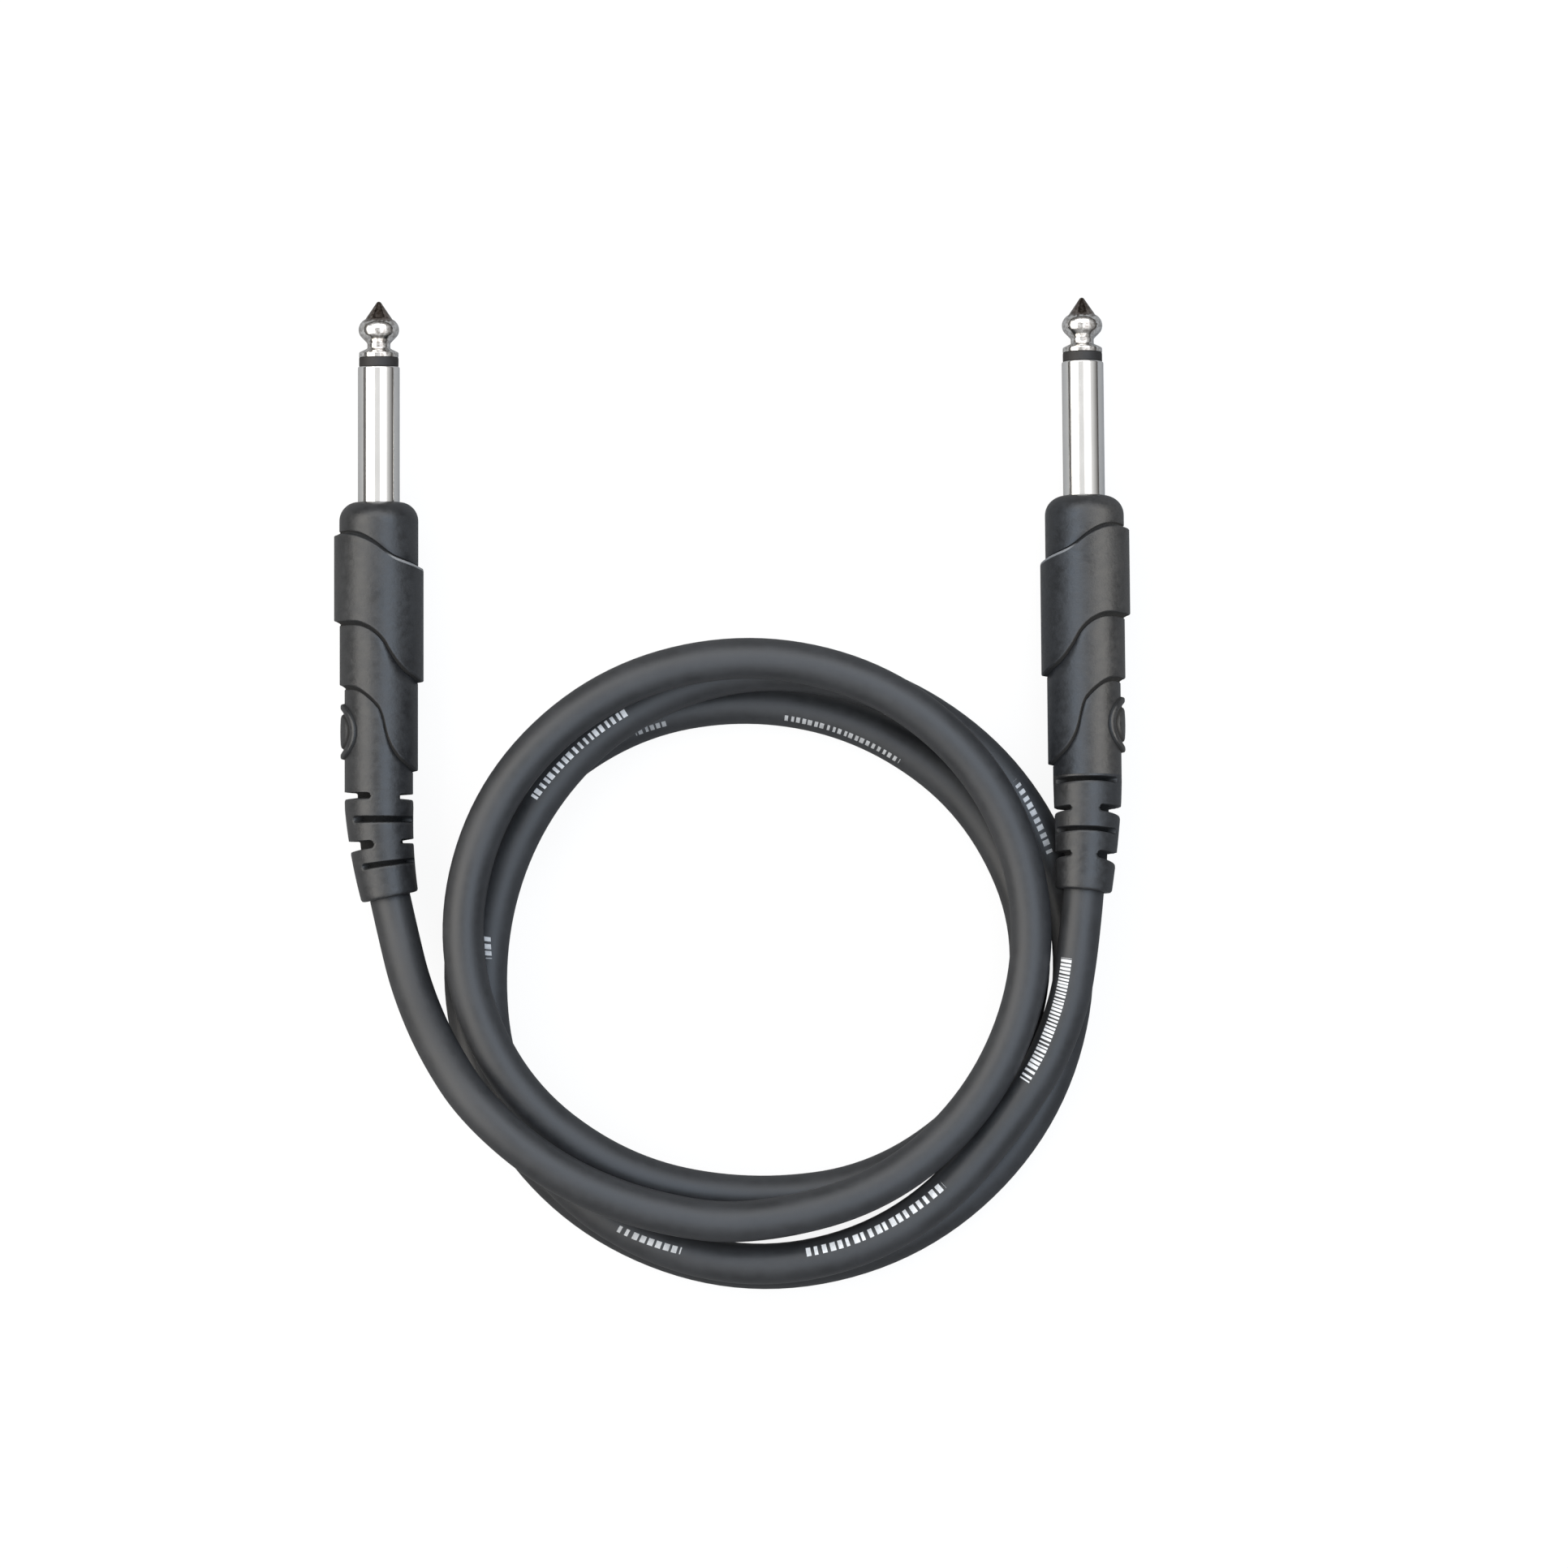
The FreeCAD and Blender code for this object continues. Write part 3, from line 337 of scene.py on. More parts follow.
# %% [markdown]
# ## Surfaces from two parameters
# Every rigid piece here is a sheet of points on a grid: one parameter runs along the piece and the
# other round it. A modelled mesh would need a tool for each groove. As a grid, a groove is a few
# rows with a smaller radius. The grid is computed as one array and put into the mesh in a few
# calls. An end is closed with a fan, and the faces are turned outwards if the enclosed volume comes
# out negative.

# %% Faces and UV map of a grid


def enclosed(vertices, quads, triangles):
    """Six times the volume inside: the sum over triangles of a . (b x c), with each quad as two."""
    stack = vertices[np.vstack([quads[:, [0, 1, 2]], quads[:, [0, 2, 3]], triangles])]
    return np.einsum("ij,ij->i", stack[:, 0], np.cross(stack[:, 1], stack[:, 2])).sum()


def lay_uv(mesh, grid, hubs):
    """
    The UV map is (share of the way round, metres along the piece), and a fan's hub takes the length
    of its end. In a face across the seam, where the share falls from nearly 1 to 0, the low shares
    get 1 more.
    """
    rows, columns = grid.shape[:2]
    step = np.linalg.norm(np.diff(grid, axis=0), axis=2).mean(axis=1)
    along = np.concatenate([[0.0], np.cumsum(step)])
    vertex = np.empty(len(mesh.loops), dtype=np.int32)
    mesh.loops.foreach_get("vertex_index", vertex)
    share = np.append(np.tile(np.arange(columns), rows), np.zeros(hubs))[vertex] / columns
    length = np.append(np.repeat(along, columns), [along[0], along[-1]][:hubs])[vertex]
    sizes = np.empty(len(mesh.polygons), dtype=np.int32)
    mesh.polygons.foreach_get("loop_total", sizes)
    face = np.repeat(np.arange(len(sizes)), sizes)
    highest = np.zeros(len(sizes))
    np.maximum.at(highest, face, share)
    share = np.where((highest[face] > 0.75) & (share < 0.25), share + 1.0, share)
    mesh.uv_layers.new(name="UVMap").data.foreach_set("uv", np.stack([share, length], axis=1).ravel())


# %% Mesh from a grid


def grid_piece(name, grid, finish, close_ends=(True, True)):
    """
    A round piece from points[row, column]: rows run along it, columns round it. Each four neighbours
    make a face, the last column joins the first, and a closed end is a fan to its middle point.
    """
    rows, columns = grid.shape[:2]
    vertices = grid.reshape(-1, 3)
    index = np.arange(rows * columns).reshape(rows, columns)
    after = np.roll(index, -1, axis=1)
    quads = np.stack([index[:-1], after[:-1], after[1:], index[1:]], axis=-1).reshape(-1, 4)
    fans = []
    for row, closed in ((0, close_ends[0]), (rows - 1, close_ends[1])):
        if closed:
            hub = np.full(columns, len(vertices))
            vertices = np.vstack([vertices, grid[row].mean(axis=0)])
            rim = [index[row], after[row]] if row else [after[row], index[row]]
            fans.append(np.stack(rim + [hub], axis=1))
    triangles = np.vstack(fans)
    if enclosed(vertices, quads, triangles) < 0:
        quads, triangles = quads[:, ::-1], triangles[:, ::-1]
    mesh = bpy.data.meshes.new(name)
    mesh.from_pydata(vertices.tolist(), [], quads.tolist() + triangles.tolist())
    mesh.shade_smooth()
    lay_uv(mesh, grid, len(fans))
    mesh.materials.append(finish)
    piece = bpy.data.objects.new(name, mesh)
    bpy.context.scene.collection.objects.link(piece)
    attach(piece, "root")
    print("%-24s %6d faces" % (name, len(mesh.polygons)))
    return piece


# %% Profiles


def turned_grid(profile, columns=128):
    """
    Points of a turned piece: each (radius, place) of the profile becomes the ring
    (radius * cos a, place, radius * sin a).
    """
    profile = np.asarray(profile, dtype=float)
    angle = np.linspace(0, 2 * math.pi, columns, endpoint=False)
    radius, place = profile[:, :1], profile[:, 1:]
    return np.stack([radius * np.cos(angle), np.broadcast_to(place, (len(profile), columns)),
                     radius * np.sin(angle)], axis=-1)


def arc(centre, radius, start, end, count):
    """Profile points on an arc, from one angle to another in degrees; 0 points outwards, 90 forwards."""
    angle = np.radians(np.linspace(start, end, count))
    return np.stack([centre[0] + radius * np.cos(angle), centre[1] + radius * np.sin(angle)], axis=1)


def eased(corners, radius=0.12, count=5):
    """
    A profile through the corners, with each inner corner C rounded by the curve
    (1 - t)^2 * A + 2 * t * (1 - t) * C + t^2 * B between a point A before it and a point B after it.
    """
    corners = np.asarray(corners, dtype=float)
    points = [corners[:1]]
    for before, corner, after in zip(corners, corners[1:], corners[2:]):
        back, onward = before - corner, after - corner
        reach = min(radius, 0.45 * np.linalg.norm(back), 0.45 * np.linalg.norm(onward))
        start = corner + back / np.linalg.norm(back) * reach
        end = corner + onward / np.linalg.norm(onward) * reach
        t = np.linspace(0, 1, count)[:, None]
        points.append((1 - t) ** 2 * start + 2 * t * (1 - t) * corner + t ** 2 * end)
    points.append(corners[-1:])
    return np.vstack(points)


# %% [markdown]
# ## Nickel plate
# The fingers are turned metal under bright nickel. A plain mirror would look like glass, so the
# finish adds what turning and use leave: fine rings, which are a noise along the piece alone, soft
# smudges that change the roughness, and fleck. The tip's point is darker and browner over its first
# 4 mm.

# %% Nickel


def nickel_plate(name, point_length=0.0):
    """
    A mirror with fine turning rings and soft smudges. With a point length, in metres, that first
    stretch of the piece is darker and browner, and the rest of it is flecked.
    """
    plate = Finish(name)
    along = plate.part(plate.where("UV"), "Y")
    rings = plate.node("TexNoise", {"noise_dimensions": "1D"}, {"W": along, "Scale": 9000.0, "Detail": 2.0})
    smudge = plate.noise(260.0, 2.0)
    fleck = plate.spread(plate.noise(2200.0, 2.0))
    colour = plate.blend(smudge, grey(0.80, (1.0, 0.99, 0.97)), grey(0.88, (1.0, 0.99, 0.975)))
    if point_length:
        dull = plate.blend(fleck, grey(0.42, (1.05, 1.0, 0.95)), colour)
        dark_point = plate.blend(fleck, grey(0.07, (1.3, 1.0, 0.8)), grey(0.22, (1.15, 1.0, 0.9)))
        fade = plate.node("MapRange", {"interpolation_type": "SMOOTHSTEP"}, {
            "Value": along + fleck * 0.0003, "From Min": point_length, "From Max": point_length + 0.0004,
            "To Min": 1.0, "To Max": 0.0})
        colour = plate.blend(fade, dull, dark_point)
    dents = rings + fleck * (0.4 if point_length else 0.1)
    return plate.shade(Base_Color=colour, Metallic=1.0, Roughness=smudge * 0.10 + rings * 0.04 + 0.05,
                       Normal=plate.bump(dents, 0.000005, 0.5))


nickel_finish = nickel_plate("bright_nickel")
point_finish = nickel_plate("worn_nickel_point", 0.0040)
print("nickel finishes:", nickel_finish.name, point_finish.name)

# %% [markdown]
# ## Dark insulator
# The ring between tip and sleeve is a hard, rather dull plastic. It is so small that one noise for
# its colour and one for its roughness are enough.

# %% Insulator
BROWNISH = (1.2, 1.0, 0.9)
insulator = Finish("dark_insulator")
insulator_finish = insulator.shade(
    Base_Color=insulator.blend(insulator.noise(900.0), grey(0.005, BROWNISH), grey(0.012, BROWNISH)),
    Roughness=insulator.noise(1500.0) * 0.1 + 0.60)

# %% [markdown]
# ## Soft moulding
# Housing and strain relief are a soft black vinyl. One even black looks like a cut-out, so three
# noises give it a surface: a cloud over several millimetres, patches of about one, and a fine grain.
# The surfaces below carry an attribute of painted shading. It is 1 in grooves and slots, where it
# paints shade into the colour and makes the moulding dull, and goes down to -1 on the edge of the
# front band, where it paints a grey highlight. An attribute keeps those marks exactly on the shape,
# which a noise can't do.

# %% Moulding
NEUTRAL = (0.98, 1.0, 1.06)
moulding = Finish("soft_moulding")
grain = moulding.noise(5200.0, 4.0, 0.6)
patches = moulding.spread(moulding.noise(900.0, 3.0, 0.6))
cloud = moulding.spread(moulding.noise(180.0, 3.0))
painted_shading_field = moulding.node("Attribute", {"attribute_name": "recess"}, output="Fac")
# Painted shade: where the attribute is above 0, grooves and slots are darkened towards black.
painted_shade = painted_shading_field.calc("MAXIMUM", 0.0)
# Painted highlight: where the attribute is below 0, the front band's edge is lightened to grey.
painted_highlight = (painted_shading_field * -1.0).calc("MAXIMUM", 0.0) * (grain * 0.6 + 0.5)
body = moulding.blend(cloud * 0.5 + patches * 0.5, grey(0.011, NEUTRAL), grey(0.022, NEUTRAL))
moulding_finish = moulding.shade(
    Base_Color=moulding.blend(painted_highlight, moulding.blend(painted_shade, body, grey(0.004)), grey(0.24)),
    Roughness=cloud * 0.08 + patches * 0.12 + grain * 0.06 + painted_shade * 0.55 + 0.30,
    Normal=moulding.bump(grain * 0.4 + patches * 0.8 + cloud * 0.6, 0.00004, 0.6))

# %% [markdown]
# ## Jacket
# The cord has an extruded vinyl jacket, slightly greyer than the plugs. It is made like the
# moulding, from a cloud, patches and a grain, but with a weaker bump, so that the long highlight
# along the cord stays whole.
#
# Rows of plain white dashes are printed on it. An image would have to be bent along the cord. The
# spline's own UV map does that by itself: its first value is the share of the cord's length, and its
# second the share of a turn round it. A row is the region near a line on that map, and within it
# each pitch of the cord is inked for a random part of its length.

# %% Jacket without its print
BLUISH = (0.97, 1.0, 1.08)
jacket = Finish("cord_jacket")
jacket_grain = jacket.noise(6500.0, 3.0, 0.55)
jacket_patches = jacket.spread(jacket.noise(700.0, 3.0, 0.6))
jacket_cloud = jacket.spread(jacket.noise(120.0, 3.0))
black = jacket.blend(jacket_cloud * 0.6 + jacket_patches * 0.4, grey(0.016, BLUISH), grey(0.026, BLUISH))

# %% Dashes printed on the jacket
# Each row of dashes: from and to along the cord's length as shares of it, the places round the jacket
# at its two ends as shares of a turn, half its height in millimetres, and how white it is.
DASH_ROWS = [
    (0.7966, 0.8167, 0.216, 0.250, 0.60, 0.80),
    (0.5355, 0.5412, 0.120, 0.125, 0.45, 0.35),
    (0.4941, 0.5157, 0.080, 0.100, 0.50, 0.45),
    (0.7248, 0.7358, 0.200, 0.265, 0.50, 0.55),
    (0.9498, 0.9843, 0.118, 0.110, 0.95, 0.85),
    (0.9115, 0.9316, 0.130, 0.140, 0.70, 0.80),
    (0.8863, 0.8949, 0.225, 0.185, 0.55, 0.60),
    (0.8385, 0.8422, 0.215, 0.184, 0.50, 0.60),
]
PITCHES = 950.0
share_along = jacket.part(jacket.where("UV"), "X")
share_round = jacket.part(jacket.where("UV"), "Y")
pitch = share_along * PITCHES
inked = jacket.node("TexWhiteNoise", {"noise_dimensions": "1D"}, {"W": pitch.calc("FLOOR")})
dash = pitch.calc("FRACT").below(inked * 0.35 + 0.40)


def dash_row(start, end, place, end_place, half, strength):
    """`strength` between start and end along the cord, within `half` of the line between the places."""
    middle = (share_along - start) * ((end_place - place) / (end - start)) + place
    inside = share_along.above(start) * share_along.below(end)
    near = (share_round - middle).calc("ABSOLUTE").below(half / (2 * math.pi * CORD_R))
    return inside * near * strength


cover = (jacket_grain * 0.6 + jacket_patches * 0.3 + 0.45).calc("MINIMUM", 1.0)
rows = [dash_row(*row) for row in DASH_ROWS]
ink = sum(rows[1:], rows[0]) * dash * cover
jacket_finish = jacket.shade(
    Base_Color=jacket.blend(ink, black, grey(0.80)),
    Roughness=jacket_cloud * 0.06 + jacket_patches * 0.05 + jacket_grain * 0.05 + ink * 0.15 + 0.44,
    Normal=jacket.bump(jacket_grain * 0.5 + jacket_patches * 0.5, 0.00002, 0.45))
print("finishes:", [item.name for item in bpy.data.materials])

# %% [markdown]
# ## The cord
# One open NURBS spline carries the whole lead: a straight stretch out of each relief, the long loose
# sweep on the left, three full turns and the climb to the right plug. The coil's points are the
# strand's reach from the coil's middle and its height over the table, a twelfth of a turn apart as
# judged from the photograph. A spline of order 3 runs inside its control points, so each reach is
# divided by the cosine of half a step.

# %% Route of the cord
COIL_MIDDLE, COIL_STEP = (2.9, -52.6), 30.0
# Pairs of reach and height in millimetres, one for each step, anticlockwise from the side away from
# the plugs.
TURNS = [
    (41.1, 15.5), (41.2, 14.1), (41.4, 13.0), (42.4, 12.3), (43.3, 12.8), (43.4, 14.1),
    (43.2, 15.2), (43.7, 15.6), (44.0, 16.0), (43.5, 16.3), (41.4, 15.8), (38.8, 12.8),
    (37.8, 8.0), (40.5, 4.9), (42.8, 3.4), (42.8, 3.1), (39.8, 3.1), (37.1, 3.1),
    (36.3, 3.1), (37.9, 3.1), (40.6, 3.1), (43.6, 3.1), (45.7, 3.1), (47.8, 3.1),
    (49.7, 3.1), (50.5, 3.1), (50.4, 3.1), (49.2, 3.4), (46.2, 5.1), (43.4, 7.4),
    (41.4, 8.9), (39.4, 9.5), (38.5, 9.5), (39.5, 9.4), (43.2, 9.4), (46.7, 9.4),
    (48.7, 9.5), (48.5, 9.6),
]
LEFT_SWEEP = [
    (-50.8, -50.8, 7.4), (-48.6, -59.2, 10.2), (-44.5, -68.2, 15.2),
    (-38.3, -77.3, 19.6), (-26.8, -86.9, 19.2), (-12.8, -92.8, 17.2),
]
RIGHT_SWEEP = [(45.6, -74.9, 9.9), (51.0, -62.8, 10.6)]
RIGHT_RUN = 8.0


def relief_exit(side, beyond=0.0):
    """The bent relief's rear end, and points further along its last direction: a circle's arc."""
    turn = math.radians(PLUGS[side]["bend"])
    bend = RELIEF_LENGTH / turn
    point = np.array([bend * (1 - math.cos(turn)), -HOUSING_END - bend * math.sin(turn), 0.0])
    heading = np.array([math.sin(turn), -math.cos(turn), 0.0])
    return on_table(side, point + heading * beyond) / MM


def coil_points(turns):
    """Control points middle + reach / cos(half a step) * (cos a, sin a), each a step of a further on."""
    reach, height = np.array(turns).T
    angle = np.radians(COIL_STEP * np.arange(len(turns)) - 90.0)
    reach = reach / math.cos(math.radians(COIL_STEP / 2))
    return np.stack([COIL_MIDDLE[0] + reach * np.cos(angle), COIL_MIDDLE[1] + reach * np.sin(angle), height],
                    axis=1)


route = np.vstack([
    relief_exit("left"), LEFT_SWEEP, coil_points(TURNS), RIGHT_SWEEP, relief_exit("right", RIGHT_RUN),
    relief_exit("right"),
]) * MM
print("control points of the cord:", len(route))

# %% The cord's spline
cord_curve = bpy.data.curves.new("cord", "CURVE")
cord_curve.dimensions = "3D"
spline = cord_curve.splines.new("NURBS")
spline.points.add(len(route) - 1)
spline.points.foreach_set("co", np.hstack([route, np.ones((len(route), 1))]).ravel())
spline.order_u = 3
spline.use_endpoint_u = True
cord_curve.resolution_u = 12
cord_curve.bevel_depth = CORD_R * MM
cord_curve.bevel_resolution = 8
cord_curve.twist_mode = "Z_UP"
cord_curve.use_fill_caps = True
cord_curve.materials.append(jacket_finish)
cord = bpy.data.objects.new("cord", cord_curve)
bpy.context.scene.collection.objects.link(cord)
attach(cord, "root")
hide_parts("cord_left_run", "cord_coil", "cord_right_run")

# %% [markdown]
# ## The finger
# Tip, ring and sleeve are turned parts, so each is one profile carried round the axis. A mirror shows
# every flaw in its surface, which is why they are made afresh on a fine grid, with small roundings at
# the edges that catch the light as the real ones do.

# %% Tip contact
POINT_ROUND = 0.45
BEAD_MIDDLE, BEAD_ROUND = (1.33, APEX - 4.3), 1.75
WAIST_R, WAIST_LENGTH = 1.75, 0.8
FLANGE_R, FLANGE_LENGTH, FLANGE_CONE = 3.0, 0.75, 0.6
ROD_R = 1.3


def tip_profile():
    """Arc of the point, front cone, arc of the bead, then an eased line by waist and flange to the rod."""
    point = arc((0.0, APEX - POINT_ROUND), POINT_ROUND, 89.0, 37.0, 8)
    bead = arc(BEAD_MIDDLE, BEAD_ROUND, 65.0, -35.0, 26)
    cone = np.linspace(point[-1], bead[0], 10)[1:-1]
    waist = RING_FRONT + FLANGE_LENGTH + FLANGE_CONE
    rear = eased([bead[-1], (WAIST_R, waist + WAIST_LENGTH), (WAIST_R, waist),
                  (FLANGE_R, RING_FRONT + FLANGE_LENGTH), (FLANGE_R, RING_FRONT + 0.04),
                  (FLANGE_R - 0.1, RING_FRONT), (ROD_R, RING_FRONT)], 0.16)
    return np.vstack([point, cone, bead, rear[1:]])


for side in PLUGS:
    tip = grid_piece(side + "_tip", on_table(side, turned_grid(tip_profile())), point_finish)
    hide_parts(side + "_tip_contact")

# %% Ring and sleeve
HIDDEN_R, HIDDEN_REAR, WALL_ROWS = 2.4, -1.5, 24


def ring_profile():
    """The ring's wall between two eased edges, each end 0.01 mm short of the piece beside it."""
    front, rear = RING_FRONT - 0.01, SLEEVE_FRONT + 0.01
    return eased([(HIDDEN_R, front), (RING_R - 0.05, front), (RING_R, RING_FRONT - 0.15),
                  (RING_R, SLEEVE_FRONT + 0.15), (RING_R - 0.06, rear), (HIDDEN_R, rear)], 0.06)


def sleeve_profile():
    """The chamfered front edge, then the straight wall, which goes on inside the nose."""
    edge = eased([(HIDDEN_R, SLEEVE_FRONT), (SLEEVE_R - 0.16, SLEEVE_FRONT), (SLEEVE_R, SLEEVE_FRONT - 0.16),
                  (SLEEVE_R, SLEEVE_FRONT - 0.5)], 0.1)[:-1]
    places = np.linspace(SLEEVE_FRONT - 0.3, 0.3, WALL_ROWS)
    wall = np.stack([np.full(WALL_ROWS, SLEEVE_R), places], axis=1)
    return np.vstack([edge, wall, [(SLEEVE_R, HIDDEN_REAR), (HIDDEN_R, HIDDEN_REAR)]])


for side in PLUGS:
    ring = grid_piece(side + "_ring", on_table(side, turned_grid(ring_profile())), insulator_finish)
    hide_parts(side + "_insulating_ring")
    sleeve = grid_piece(side + "_sleeve", on_table(side, turned_grid(sleeve_profile())), nickel_finish)
    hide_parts(side + "_sleeve_contact")

# %% [markdown]
# ## The housing
# The soft moulding is round, and steps between bands whose edges wave across it. Cutting those edges
# out of a finished mesh would leave ragged faces, so the grid's rows follow the waves instead: each
# row has a place relative to one wave's edge, and a step's brow, its sloping wall and the groove at
# its foot stay crisp wherever the wave runs. The offsets are measured along the plug, so a step is
# narrowest where its wave is steepest. On the side where the waves run back, the grooves get finer
# and the front band gets a wider brow, as on the real plug.

# %% Wave lines
# Each line as (place across the plug, distance behind the nose), read off both plugs.
WAVES = {
    "front": [(-6.8, 5.1), (-4.5, 5.0), (-3.0, 5.25), (-1.5, 5.85), (0.0, 6.7), (1.5, 7.7),
              (3.0, 8.5), (4.5, 9.05), (5.7, 9.5), (6.8, 10.05)],
    "middle": [(-6.8, 18.2), (-4.5, 18.15), (-3.0, 18.25), (-1.5, 18.75), (0.0, 19.7), (1.2, 21.0),
               (2.4, 23.0), (3.6, 24.6), (4.8, 25.8), (6.0, 26.65), (6.8, 27.4)],
    "rear": [(-5.95, 27.95), (-4.2, 27.95), (-2.7, 28.45), (-1.5, 29.25), (-0.3, 30.3), (0.6, 31.5),
             (1.1, 32.9), (1.6, 35.1), (2.1, 36.5), (2.7, 37.6), (3.6, 38.8), (4.8, 39.85), (5.95, 40.95)],
}


def smooth_line(x, table):
    """
    Value at each x of a smooth cubic through the pairs of a table. Between the values a and b, with
    the slopes m and n there, it is (2t^3 - 3t^2 + 1) * a + (t^3 - 2t^2 + t) * m
    + (3t^2 - 2t^3) * b + (t^3 - t^2) * n, where t goes from 0 to 1.
    """
    knots, values = np.array(table).T
    slopes = np.gradient(values, knots)
    cell = np.clip(np.searchsorted(knots, x, side="right") - 1, 0, len(knots) - 2)
    gap = knots[cell + 1] - knots[cell]
    t = np.clip((x - knots[cell]) / gap, 0, 1)
    a, b, m, n = values[cell], values[cell + 1], slopes[cell] * gap, slopes[cell + 1] * gap
    ends = (2 * t ** 3 - 3 * t ** 2 + 1) * a + (3 * t ** 2 - 2 * t ** 3) * b
    return ends + (t ** 3 - 2 * t ** 2 + t) * m + (t ** 3 - t ** 2) * n


for name, table in WAVES.items():
    print("%s wave runs from %.1f to %.1f mm behind the nose" % (name, table[0][1], table[-1][1]))

# %% Rows of a step
# A step from its foot to its brow. The groove's rows are (offset along the plug, height over the lower
# band, how much shade is painted on them), and the brow's are (offset, height over the upper band).
GROOVE = [(0.60, 0.0, 0.0), (0.54, -0.02, 0.3), (0.48, -0.12, 1.0), (0.36, -0.16, 1.0), (0.24, 0.0, 1.0)]
WALL_TOP = (0.02, -0.35)
BROW = [(-0.03, -0.16), (-0.06, -0.09), (-0.16, -0.02)]
BAND = [(-0.22, 0.0), (-0.3, 0.0)]


def step_rows(edge, across, before, after):
    """
    Rows of (place, radius, painted shading) of a step between two bands' radii, where a place is the
    wave's edge plus an offset times `foot` in the groove or times `brow` above it. The groove gets
    painted shade, and so does the wall's top row on a step down. `share` goes smoothly from 0 to 1
    between 0.5 mm left of the axis and 3.5 mm right of it. With it, foot goes from 1 to 0.65 and brow
    from 1 to 2.4 on a step up, whose brow also gets a painted highlight from share 0.48 on. A step down
    has the same rows in reverse with their offsets the other way, and foot goes from 1.25 to 0.45.
    """
    up = after > before
    low, high = min(before, after), max(before, after)
    share = np.clip((across + 0.5) / 4.0, 0, 1)
    share = share * share * (3 - 2 * share)
    foot = 1.0 - 0.35 * share if up else 1.25 - 0.8 * share
    brow = 1.0 + 1.4 * share if up else 1.0
    # Painted highlight on a step up's brow, growing towards the side where the waves run back.
    painted_brow_highlight = -np.clip(2.5 * share - 1.2, 0, 1) if up else 0.0
    # Painted shade in the groove's rows, and on the wall's top row of a step down.
    rows = [(offset * foot, low + rise, painted_groove_shade) for offset, rise, painted_groove_shade in GROOVE]
    rows.append((WALL_TOP[0] * foot, high + WALL_TOP[1], 0.0 if up else 1.0))
    rows += [(offset * brow, high + rise, painted_brow_highlight) for offset, rise in BROW]
    rows += [(offset * brow, high + rise, 0.0) for offset, rise in BAND]
    if up:
        return [(edge + offset, radius, recess) for offset, radius, recess in rows]
    return [(edge - offset, radius, recess) for offset, radius, recess in rows[::-1]]


def filling_rows(start, end, radius, count=5):
    """Rows of one radius, evenly spread between the places start and end."""
    return [(start + (end - start) * share, radius, 0.0) for share in np.linspace(0, 1, count + 2)[1:-1]]


# %% Housing grid
NOSE_R, NOSE_ROUND, REAR_GRIP_R = 6.0, 2.9, 5.95
STEPS = [("front", NOSE_R, GRIP_R), ("middle", GRIP_R, REAR_GRIP_R), ("rear", REAR_GRIP_R, NECK_R)]
# The nose's inner edge round the sleeve and its rear face, as (radius, place).
NOSE_LIP = [(3.0, -0.35), (3.2, -0.04), (3.5, -0.03)]
REAR_FACE = [(NECK_R, 0.3), (NECK_R, 0.03), (NECK_R, 0.01), (NECK_R - 0.005, 0.0), (3.3, 0.0)]
# Where the relief's surface takes over from the housing's, behind the housing's end.
RELIEF_START = {"left": 0.0, "right": -1.0}


def housing_grid(side, columns=288):
    """
    Points (radius * cos a, place, radius * sin a) and their painted shading, row by row from the
    nose's inner edge to the rear face. The wave's line is read at the place across that the larger
    band has at a.
    """
    angle = np.linspace(0, 2 * math.pi, columns, endpoint=False)
    level = np.zeros(columns)
    nose = np.vstack([eased(NOSE_LIP, 0.15),
                      arc((NOSE_R - NOSE_ROUND, -NOSE_ROUND), NOSE_ROUND, 80.0, 0.0, 14)])
    rows = [(level + place, radius, 0.0) for radius, place in nose]
    for name, before, after in STEPS:
        across = max(before, after) * np.cos(angle)
        edge = -smooth_line(across, WAVES[name])
        rows += filling_rows(rows[-1][0], edge + GROOVE[0][0], before)
        rows += step_rows(edge, across, before, after)
    end = level - HOUSING_END - RELIEF_START[side]
    rows += filling_rows(rows[-1][0], end + REAR_FACE[0][1], NECK_R)
    rows += [(end + place, radius, 0.0) for radius, place in REAR_FACE]
    places = np.stack([place for place, radius, recess in rows])
    radii = np.array([[radius] for place, radius, recess in rows])
    points = np.stack([radii * np.cos(angle), places, radii * np.sin(angle)], axis=-1)
    return points, np.stack([recess + level for place, radius, recess in rows])


def mark_painted_shading(piece, recess):
    """Give each grid point its painted shading as an attribute: up to 1 for painted shade, down to -1 for a
    painted highlight; the fans' middles get 0.
    """
    values = np.append(recess.ravel(), np.zeros(len(piece.data.vertices) - recess.size))
    piece.data.attributes.new("recess", "FLOAT", "POINT").data.foreach_set("value", values)


for side in PLUGS:
    points, recess = housing_grid(side)
    shell = grid_piece(side + "_shell", on_table(side, points), moulding_finish)
    mark_painted_shading(shell, recess)
    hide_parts(side + "_housing")

# %% [markdown]
# ## The strain relief
# The relief bends with the cord and is weakened by four pairs of slots with rounded ends, turned a
# quarter from one pair to the next. The cord climbs behind each plug, so the slots are pinched and
# pulled forwards on top and gape below. Booleans would cut them sharp and straight. On one grid, a
# slot is a region where the distance to its middle line is less than half its width, and there the
# surface drops to the floor with walls as soft as the moulding's.

